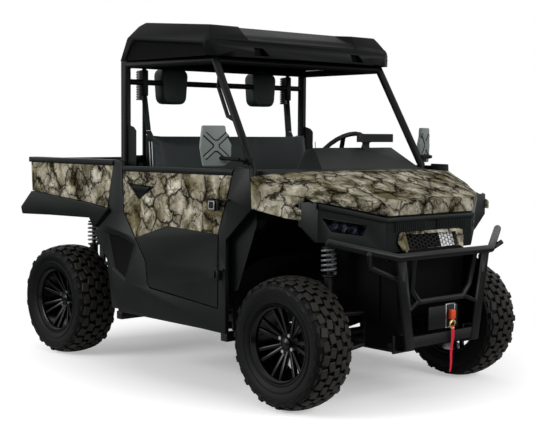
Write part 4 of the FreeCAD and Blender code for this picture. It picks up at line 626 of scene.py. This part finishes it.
# Painted panels. Hood, fenders, door skins and bed sides are moulded plastic dipped in
# a printed film: grey-tan stone broken by dark cracks and bark lines, under a matt lacquer.
def camo_film():
    """Pale stones 60 to 160 mm wide, darker towards their cracks, with stains and finer
    cracks across."""
    material, tree, place = new_material("film_printed_stone_and_bark_plastic")
    sway = add(tree, "ShaderNodeTexNoise", {"Scale": 7.0, "Detail": 6.0, "Roughness": 0.62},
               {"Vector": place})
    pull = add(tree, "ShaderNodeVectorMath", {"operation": "MULTIPLY_ADD", 1: (0.17, 0.17, 0.17)},
               {0: sway.outputs["Color"], 2: place})
    big = add(tree, "ShaderNodeTexVoronoi", {"feature": "DISTANCE_TO_EDGE", "Scale": 8.5},
              {"Vector": pull.outputs[0]})
    small = add(tree, "ShaderNodeTexVoronoi", {"feature": "DISTANCE_TO_EDGE", "Scale": 24.0},
                {"Vector": pull.outputs[0]})
    depth = add(tree, "ShaderNodeTexNoise", {"Scale": 7.5, "Detail": 4.0}, {"Vector": place})
    breadth = add(tree, "ShaderNodeMapRange",
                  {"From Min": 0.38, "From Max": 0.64, "To Min": 0.02, "To Max": 0.15},
                  {"Value": depth.outputs["Fac"]})
    crack = add(tree, "ShaderNodeMapRange", {"From Min": 0.004},
                {"Value": big.outputs["Distance"], "From Max": breadth.outputs[0]})
    fine_gap = add(tree, "ShaderNodeMapRange",
                   {"From Min": 0.44, "From Max": 0.62, "To Min": 0.01, "To Max": 0.14},
                   {"Value": depth.outputs["Fac"]})
    hair = add(tree, "ShaderNodeMapRange", {"From Min": 0.0, "To Min": 0.12},
               {"Value": small.outputs["Distance"], "From Max": fine_gap.outputs[0]})
    crown = add(tree, "ShaderNodeMapRange",
                {"From Min": 0.0, "From Max": 0.30, "To Min": 0.48, "To Max": 1.0},
                {"Value": big.outputs["Distance"]})
    blot = add(tree, "ShaderNodeTexNoise", {"Scale": 10.0, "Detail": 9.0, "Roughness": 0.66},
               {"Vector": pull.outputs[0]})
    stone = add(tree, "ShaderNodeValToRGB", links={"Fac": blot.outputs["Fac"]})
    ramp = stone.color_ramp.elements
    ramp[0].color, ramp[0].position = linear("#4a4535"), 0.32
    ramp[1].color, ramp[1].position = linear("#ece6d6"), 0.68
    for position, colour in ((0.42, "#857f6b"), (0.50, "#b0a995"), (0.58, "#cdc7b5")):
        ramp.new(position).color = linear(colour)
    moss = add(tree, "ShaderNodeTexNoise", {"Scale": 4.2, "Detail": 5.0},
               {"Vector": pull.outputs[0]})
    stain = add(tree, "ShaderNodeMapRange", {"From Min": 0.50, "From Max": 0.64, "To Max": 0.9},
                {"Value": moss.outputs["Fac"]})
    stained = add(tree, "ShaderNodeMix",
                  {"data_type": "RGBA", "blend_type": "MULTIPLY", 7: linear("#8a8564")},
                  {0: stain.outputs[0], 6: stone.outputs["Color"]})
    domed = add(tree, "ShaderNodeMix", {"data_type": "RGBA", 6: linear("#3a3527")},
                {0: crown.outputs[0], 7: stained.outputs[2]})
    lined = add(tree, "ShaderNodeMix", {"data_type": "RGBA", 6: linear("#0d0a06")},
                {0: crack.outputs[0], 7: domed.outputs[2]})
    webbed = add(tree, "ShaderNodeMix", {"data_type": "RGBA", 6: linear("#17130c")},
                 {0: hair.outputs[0], 7: lined.outputs[2]})
    shader = add(tree, "ShaderNodeBsdfPrincipled", {"Roughness": 0.7, "Specular IOR Level": 0.0},
                 {"Base Color": webbed.outputs[2]})
    add(tree, "ShaderNodeOutputMaterial", links={"Surface": shader.outputs[0]})
    return material


camo = camo_film()
# The hood is trimmed by 1 mm a side, and the fenders' inner corners back to FENDER_Y, so
# that their rounded edges don't meet when the hood swings up.
HOOD_TRIM, FENDER_Y = 0.9975, 0.5725
hood_mesh = rounded(joined("hood"), 0.008, 14, 3)
hood_mesh.transform(Matrix.Diagonal((1, HOOD_TRIM, 1, 1)))
fitted("hood_finish", hood_mesh, [camo], "hood", ("hood",), 30)
fender_mesh = rounded(joined("fenders"), 0.005, 16, 2)
for vert in fender_mesh.vertices:
    vert.co.y = math.copysign(max(FENDER_Y, abs(vert.co.y)), vert.co.y)
fitted("fenders_finish", fender_mesh, [camo], "chassis", ("fenders",), 30)
eased(("bed_skins",), "bed", camo, 0.004, 20, 30)
for side in ("left", "right"):
    eased(("door_skin_" + side,), "door_" + side, camo, 0.004, 20, 30)


# Grille. A film-covered surround with two cheeks, clipped into the nose under a row of
# flutes, frames a black honeycomb of steel strip; a pure white plate behind its left is painted
# light, for the bright backdrop seen through it.
def mottled(name, marks, colour, other, settings):
    """A skin whose colour wanders between two tones, in clouds of 1 / marks metres."""
    material, tree, place = new_material(name)
    cloud = add(tree, "ShaderNodeTexNoise", {"Scale": marks}, {"Vector": place})
    tone = add(tree, "ShaderNodeMix", {"data_type": "RGBA", 6: linear(colour), 7: linear(other)},
               {0: cloud.outputs["Fac"]})
    shader = add(tree, "ShaderNodeBsdfPrincipled", settings, {"Base Color": tone.outputs[2]})
    add(tree, "ShaderNodeOutputMaterial", links={"Surface": shader.outputs[0]})
    return material


backdrop_white_plate = mottled("white_plate_painted_backdrop_light", 60.0, "#f4f5f6", "#ffffff", {"Roughness": 0.4})
surround = joined("grille_frame", False)
for face in surround.faces:
    lower_bar = face.calc_center_median().z < 0.7865 or abs(face.normal.y) < 0.9 and all(
        vert.co.z < 0.787 for vert in face.verts)
    face.material_index = 1 if lower_bar else 0
fitted("grille_surround", rounded(surround, 0.002, 30, 2), [camo, liner_black], "chassis",
       ("grille_frame",), 35)
cheeks = bmesh.new()
for out in (-1, 1):
    sheet_of(cheeks, [(1.293, out * 0.2225, 0.870), (1.325, out * 0.2225, 0.786),
                      (1.316, out * 0.230, 0.786), (1.300, out * 0.256, 0.824),
                      (1.300, out * 0.246, 0.864)], (-0.0015, 0, 0))
made_piece("grille_cheeks", cheeks, camo, "chassis", (), 35)
FLUTES, FLUTE_PITCH = 16, 0.0145
flute = lump((0.006, 0.007, 0.052), 0.002)
flutes = bmesh.new()
for out in (-1, 1):
    for k in range(FLUTES):
        stamp(flutes, flute, at(1.2995, out * (0.050 + FLUTE_PITCH * k), 0.900))
# The flutes take the nose's plastic, painted lighter.
made_piece("nose_flutes", flutes, nose_painted_lighter_black, "chassis", (), 35)
CELL_R, CELL_BORE_R, CELL_WIDE, CELL_DEEP = 0.0125, 0.0108, 1.3, 0.002
PITCH_Y, PITCH_Z, COMB_HALF = 0.0244, 0.0216, 0.036
cell_bm = bmesh.new()
bmesh.ops.create_circle(cell_bm, segments=6, radius=CELL_R)
bmesh.ops.create_circle(cell_bm, segments=6, radius=CELL_BORE_R)
bmesh.ops.bridge_loops(cell_bm, edges=cell_bm.edges[:])
grown = bmesh.ops.extrude_face_region(cell_bm, geom=cell_bm.faces[:])
bmesh.ops.translate(cell_bm, vec=(0, 0, CELL_DEEP), verts=new_verts(grown))
for axis in "ZY":
    bmesh.ops.rotate(cell_bm, verts=cell_bm.verts, matrix=Matrix.Rotation(math.pi / 2, 3, axis))
bmesh.ops.scale(cell_bm, verts=cell_bm.verts, vec=(1, CELL_WIDE, 1))
cell = as_mesh(cell_bm, "cell")
lean = turned(-math.atan2(34, 90), "Y")
comb = bmesh.new()
for column in range(-8, 9):
    for row in range(-2, 3):
        z = (row + (0.5 if column % 2 else 0.0)) * PITCH_Z
        if abs(z) < COMB_HALF:
            stamp(comb, cell, at(1.293, column * PITCH_Y, 0.826) @ lean @ at(0, 0, z))
made_piece("grille_honeycomb", comb, powder_coat, "chassis", ("grille_mesh",), 30)
# The white plate is painted light: it stands for the bright backdrop showing through the honeycomb.
for name, x, y0, y1, metal in (("grille_backing", 1.296, -0.205, 0.085, liner_black),
                               ("backdrop_light_plate", 1.291, 0.086, 0.200, backdrop_white_plate)):
    plate = bmesh.new()
    sheet_of(plate, [(x, y0, 0.785), (x, y1, 0.785), (x - 0.028, y1, 0.868),
                     (x - 0.028, y0, 0.868)], (-0.003, 0, 0))
    made_piece(name, plate, metal, "chassis")


# Headlights. Each lamp is a black housing let into the nose, with three small chromed
# bowls and a chromed strip under a clear polycarbonate lens.
lens_plastic = polished("polycarbonate_clear_lens", 90.0, 0.02, 0.08,
                        {"Base Color": linear("#c4c8d2"), "IOR": 1.3, "Transmission Weight": 1.0,
                         "Specular IOR Level": 0.5})
chrome = polished("chromed_plastic_reflector", 120.0, 0.06, 0.16,
                  {"Base Color": linear("#83868c"), "Metallic": 1.0})
lamp_black = coated("moulded_abs_gloss_black_housing", "#0a0b10", "#10121a", 0.2, 0.002, 0.05, 0.5)
housing = joined("headlights")
for out in (-1, 1):
    facing = Vector((0.8215, out * 0.570, 0))
    front = [face for face in housing.faces if face.normal.dot(facing) > 0.98]
    bmesh.ops.inset_region(housing, faces=front, thickness=0.006, depth=-0.024,
                           use_even_offset=True)
    housing.normal_update()
fitted("lamp_housings", as_mesh(housing, "lamp_housings"), [lamp_black], "chassis",
       ("headlights",), 30)
bowl_bm = bmesh.new()
spun(bowl_bm, [(0.004, 0.006), (0.005, 0.0), (0.012, 0.003), (0.018, 0.009), (0.021, 0.016),
               (0.0225, 0.016), (0.019, 0.007), (0.012, 0.0), (0.004, -0.003)], 20)
bowl = as_mesh(bowl_bm, "bowl")
strip = lump((0.120, 0.004, 0.005), 0.001)
bowls = bmesh.new()
lenses = bmesh.new()
for out in (-1, 1):
    along = Vector((0.570, -out * 0.8215, 0))
    facing = Vector((0.8215, out * 0.570, 0))
    brow = Vector((1.098, out * 0.609, 0)) + facing * 0.003
    turn = Matrix(((along.x, facing.x, 0, 0), (along.y, facing.y, 0, 0), (0, 0, 1, 0),
                   (0, 0, 0, 1)))
    for s_along, z in ((0.085, 0.908), (0.132, 0.900), (0.180, 0.892)):
        spot = brow + along * s_along - facing * 0.022
        stamp(bowls, bowl, at(spot.x, spot.y, z) @ turn)
    spot = brow + along * 0.140 - facing * 0.014
    stamp(bowls, strip, at(spot.x, spot.y, 0.872) @ turn @ turned(0.13, "Y"))
    rim = [(brow + along * s_along - facing * 0.003, z)
           for s_along, z in ((0.034, 0.938), (0.073, 0.889), (0.215, 0.869), (0.232, 0.908))]
    sheet_of(lenses, [(point.x, point.y, z) for point, z in rim], tuple(-facing * 0.003))
made_piece("lamp_bowls", bowls, chrome, "chassis", (), 40)
made_piece("lamp_lenses", lenses, lens_plastic, "chassis", (), 40)


# Mirrors. Folding side mirrors in grey moulded plastic, with a raised cross of ribs on
# the back of each shell, on a black cast arm that clamps to the front pillar.
mirror_grey = coated("moulded_asa_light_grey", "#69716e", "#7e8682", 0.45, 0.002, 0.3, 0.3)
MIRROR_OUTLINE = ((-0.071, 0.102), (0.050, 0.102), (0.058, 0.050), (0.083, 0.008),
                  (0.080, -0.080), (0.048, -0.102), (-0.066, -0.102), (-0.083, -0.006))
SHELL_HALF, RIB_TURN, ARM_R = 0.0135, 0.72, 0.010
# Black bands, wider than the ribs and the boss, lie under them: painted shade of the grooves round
# them.
rib_shade_band, boss_shade_band = lump((0.006, 0.074, 0.028), 0.001), lump((0.006, 0.038, 0.064), 0.002)
rib, boss = lump((0.011, 0.074, 0.016), 0.002), lump((0.011, 0.026, 0.052), 0.003)
for shape in (rib_shade_band, boss_shade_band):
    shape.polygons.foreach_set("material_index", [1] * len(shape.polygons))
for side, out in (("right", -1), ("left", 1)):
    shell = bmesh.new()
    sheet_of(shell, [(-SHELL_HALF, y * -out, z) for y, z in MIRROR_OUTLINE], (2 * SHELL_HALF, 0, 0))
    bmesh.ops.recalc_face_normals(shell, faces=shell.faces)
    bevelled(shell, shell.edges[:], 0.008, 3)
    for sign_y in (-1, 1):
        for sign_z in (-1, 1):
            slant = (at(0.0125, sign_y * 0.033, sign_z * 0.036) @
                     turned(sign_y * sign_z * RIB_TURN, "X"))
            stamp(shell, rib_shade_band, slant)
            stamp(shell, rib, slant)
    stamp(shell, boss_shade_band, at(0.0126, 0, 0))
    stamp(shell, boss, at(0.0126, 0, 0))
    shell.transform(at(0.562, out * 0.802, 1.287) @ turned(out * math.radians(21), "Z"))
    made_piece("mirror_shell_" + side, shell, (mirror_grey, cast_black), "chassis",
               (), 30)
clamps = bmesh.new()
for out in (-1, 1):
    elbow = Vector((0.672, out * 0.740, 1.221))
    for start, end in ((Vector((0.562, out * 0.790, 1.227)), elbow),
                       (elbow, Vector((0.653, out * 0.668, 1.213)))):
        aim = (end - start).to_track_quat("Z", "Y").to_matrix().to_4x4()
        peg(clamps, 12, ARM_R, ARM_R, (end - start).length,
            Matrix.Translation((start + end) / 2) @ aim)
    stamp(clamps, lump((0.050, 0.030, 0.036), 0.005), at(0.660, out * 0.672, 1.214))
made_piece("mirror_arms", clamps, cast_black, "chassis", ("mirrors",), 40)


# Winch line end. An orange-red rubber stopper against the fairlead, a plated hook, and a
# red nylon pull strap that hangs from it; the fairlead's rollers are bright steel.
stopper_red = coated("rubber_moulded_orange_red", "#d6401c", "#e8552b", 0.5, 0.003, 0.3, 0.3)
web_red = coated("nylon_webbing_red", "#c41226", "#e0304a", 0.6, 0.0015, 0.8, 0.2)
hook_gold = mottled("zinc_yellow_chromate_hook", 220.0, "#d9c48a", "#b79a55",
                    {"Metallic": 1.0, "Roughness": 0.35})
LINE_Y = 0.055
STRAP_LONG, STRAP_WIDE, STRAP_NARROWS, STRAP_THICK = 0.232, 0.026, 0.012, 0.004
stop_bm = bmesh.new()
stamp(stop_bm, lump((0.024, 0.040, 0.052), 0.008, 0.9, 3), at(1.397, LINE_Y, 0.452))
made_piece("hook_stopper", stop_bm, stopper_red, "chassis", ("winch_hook",), 35)
hook_bm = bmesh.new()
bend = bmesh.ops.create_circle(hook_bm, segments=8, radius=0.0055)["verts"]
bmesh.ops.translate(hook_bm, verts=bend, vec=(0.020, 0, 0))
edges = list({edge for vert in bend for edge in vert.link_edges})
bmesh.ops.spin(hook_bm, geom=bend + edges, cent=(0, 0, 0), axis=(0, 1, 0),
               angle=math.radians(300), steps=18)
hook_bm.transform(at(1.399, LINE_Y, 0.402) @
                  turned(math.pi / 2, "Z") @ turned(math.pi, "X"))
stamp(hook_bm, lump((0.010, 0.014, 0.030), 0.003), at(1.399, LINE_Y, 0.425))
made_piece("hook_forging", hook_bm, hook_gold, "chassis", (), 40)
strap_bm = bmesh.new()
bmesh.ops.create_grid(strap_bm, x_segments=2, y_segments=20, size=0.5)
for vert in strap_bm.verts:
    down = 0.5 - vert.co.y
    wide = STRAP_WIDE - STRAP_NARROWS * down
    vert.co = (1.400 - 0.010 * down + 0.003 * math.sin(9 * down),
               LINE_Y + vert.co.x * wide + 0.004 * math.sin(4 * down), 0.395 - STRAP_LONG * down)
# The normals are still those of the flat grid, so the second face lies STRAP_THICK down the
# strap's length, and the strap has no real thickness
bmesh.ops.solidify(strap_bm, geom=strap_bm.faces[:], thickness=STRAP_THICK)
made_piece("hook_strap", strap_bm, web_red, "chassis", (), 40)
rollers = bmesh.new()
for y in (0.022, 0.090):
    stamp(rollers, lump((0.010, 0.006, 0.118), 0.002), at(1.380, y, 0.446))
for z in (0.387, 0.503):
    stamp(rollers, lump((0.010, 0.074, 0.006), 0.002), at(1.380, 0.056, z))
made_piece("fairlead_rollers", rollers, nut_steel, "chassis", (), 40)


# Hinges. Each door hangs on two black cast strap hinges with two bolts through each
# leaf; the upper one carries the bright striker frame of the latch.
LOW_HINGE_Z, HIGH_HINGE_Z = 0.635, 0.988
for side, out in (("left", 1), ("right", -1)):
    striker = bmesh.new()
    for z in (0.969, 1.007):
        stamp(striker, lump((0.046, 0.004, 0.005), 0.001), at(0.524, out * 0.7955, z))
    for x in (0.503, 0.545):
        stamp(striker, lump((0.005, 0.004, 0.040), 0.001), at(x, out * 0.7955, HIGH_HINGE_Z))
    made_piece("striker_frame_" + side, striker, nut_steel, "door_" + side, (), 40)
    straps = bmesh.new()
    for z in (LOW_HINGE_Z, HIGH_HINGE_Z):
        stamp(straps, lump((0.044, 0.006, 0.040), 0.0015), at(0.524, out * 0.791, z))
        for dz in (-0.010, 0.010):
            peg(straps, 10, 0.006, 0.004, 0.005, at(0.520, out * 0.7945, z + dz) @
                turned(-out * math.pi / 2, "X"))
    made_piece("hinge_straps_" + side, straps, powder_coat, "door_" + side, (), 40)


# Seats. Foam pads under black vinyl: three cushions, three backs and two headrests,
# crowned by the foam under their tight covers.
vinyl = coated("vinyl_coated_fabric_black", "#1a2020", "#252c2c", 0.5, 0.0024, 0.5, 0.2)
SHRINK, FOAM_PRESSURE, SWELL_CAP, VOXEL, SWELL_FRAMES = 0.008, 4.0, 0.014, 0.010, 20


def puffed(name):
    """Inflates a node's pads as foam does under a tight cover: they shrink by SHRINK, then
    the cloth swells under pressure until it meets the cap."""
    draft = placed(name + "_draft", as_mesh(joined(name), name + "_whole"))
    voxels = draft.modifiers.new("voxels", "REMESH")
    voxels.mode = "VOXEL"
    voxels.voxel_size = VOXEL
    even = evaluated(draft)
    draft.modifiers.clear()
    bm = bmesh.new()
    bm.from_mesh(even)
    bmesh.ops.smooth_vert(bm, verts=bm.verts, factor=0.5, use_axis_x=True, use_axis_y=True,
                          use_axis_z=True)
    bm.normal_update()
    for vert in bm.verts:
        vert.co -= vert.normal * SHRINK
    bm.to_mesh(even)
    bm.free()
    draft.data = even
    rest = [vert.co.copy() for vert in even.vertices]
    cloth = draft.modifiers.new("foam", "CLOTH")
    cloth.settings.use_pressure = True
    cloth.settings.uniform_pressure_force = FOAM_PRESSURE
    cloth.settings.effector_weights.gravity = 0
    for step in range(1, SWELL_FRAMES + 1):
        bpy.context.scene.frame_set(step)
    full = evaluated(draft)
    for vert, start in zip(full.vertices, rest):
        moved = vert.co - start
        if moved.length > SWELL_CAP:
            vert.co = start + moved.normalized() * SWELL_CAP
    bpy.data.objects.remove(draft)
    piece = fitted(name + "_padded", full, [vinyl], "chassis", (name,), 80)
    finer = piece.modifiers.new("finer", "SUBSURF")
    finer.levels = finer.render_levels = 1


for name in ("seat_cushions", "seat_backs"):
    puffed(name)
for side, out in (("left", 1), ("right", -1)):
    pad = bmesh.new()
    bmesh.ops.create_cube(pad, size=1.0)
    bmesh.ops.scale(pad, vec=(0.090, 0.196, 0.206), verts=pad.verts)
    bevelled(pad, [edge for edge in pad.edges
                   if abs((edge.verts[0].co - edge.verts[1].co).x) > 0.05], 0.045, 4, False)
    for vert in pad.verts:
        if vert.co.z < 0:
            vert.co.y *= 0.90
    bevelled(pad, [edge for edge in pad.edges
                   if abs((edge.verts[0].co - edge.verts[1].co).x) < 0.001
                   and len(edge.link_faces) == 2 and edge.calc_face_angle(0.0) > 1.0],
             0.018, 4, False)
    bmesh.ops.translate(pad, vec=(-0.388, out * 0.351, 1.618), verts=pad.verts)
    piece = made_piece("headrest_" + side, pad, vinyl, "chassis", ("headrests",), 60)


# Seat belts. Black woven belts run from reels in the ribbed sleeves on the rear bar, down
# over the seat backs and past a pair of bright guides to buckles beside the cushions.
webbing = coated("polyester_webbing_black", "#1b1e1f", "#2a2e2f", 0.7, 0.0015, 0.8, 0.15)
BELT_WIDE, BELT_THICK = 0.046, 0.003
BELT_RUNS = (((-0.388, 0.562, 1.700), (-0.340, 0.552, 1.362)),
             ((-0.340, 0.552, 1.360), (-0.140, 0.520, 1.050)),
             ((-0.140, 0.520, 1.050), (-0.150, 0.500, 0.905)))
belts = bmesh.new()
stalks = bmesh.new()
for out in (-1, 1):
    for (x0, y0, z0), (x1, y1, z1) in BELT_RUNS:
        a, b = Vector((x0, out * y0, z0)), Vector((x1, out * y1, z1))
        aim = (b - a).to_track_quat("X", "Z").to_matrix().to_4x4()
        stamp(belts, lump(((b - a).length, BELT_WIDE, BELT_THICK), 0.0),
              Matrix.Translation((a + b) / 2) @ aim)
    for x in (-0.205, -0.180):
        stamp(stalks, lump((0.006, 0.003, 0.170), 0.001),
              at(x, out * 0.640, 1.215) @ turned(-0.08, "Y"))
made_piece("seat_belts", belts, webbing, "chassis", (), 30)
made_piece("belt_guides", stalks, nut_steel, "chassis", (), 40)
RIBS, RIB_PITCH, RIB_R, NECK_R = 12, 0.014, 0.032, 0.026
profile = [(0.0, 0.0)]
for k in range(RIBS):
    profile += [(RIB_R, RIB_PITCH * k), (RIB_R, RIB_PITCH * k + 0.008),
                (NECK_R, RIB_PITCH * k + 0.009), (NECK_R, RIB_PITCH * k + 0.013)]
profile.append((0.0, 0.171))
tube_bm = bmesh.new()
spun(tube_bm, profile, 20)
bmesh.ops.remove_doubles(tube_bm, verts=tube_bm.verts, dist=0.00005)
sleeve = as_mesh(tube_bm, "sleeve")
sleeves = bmesh.new()
for out in (-1, 1):
    stamp(sleeves, sleeve, at(-0.388, out * 0.562, 1.535) @ turned(math.pi / 2, "X"))
made_piece("belt_sleeves", sleeves, damper_black, "chassis", (), 30)

bpy.context.scene.frame_set(1)
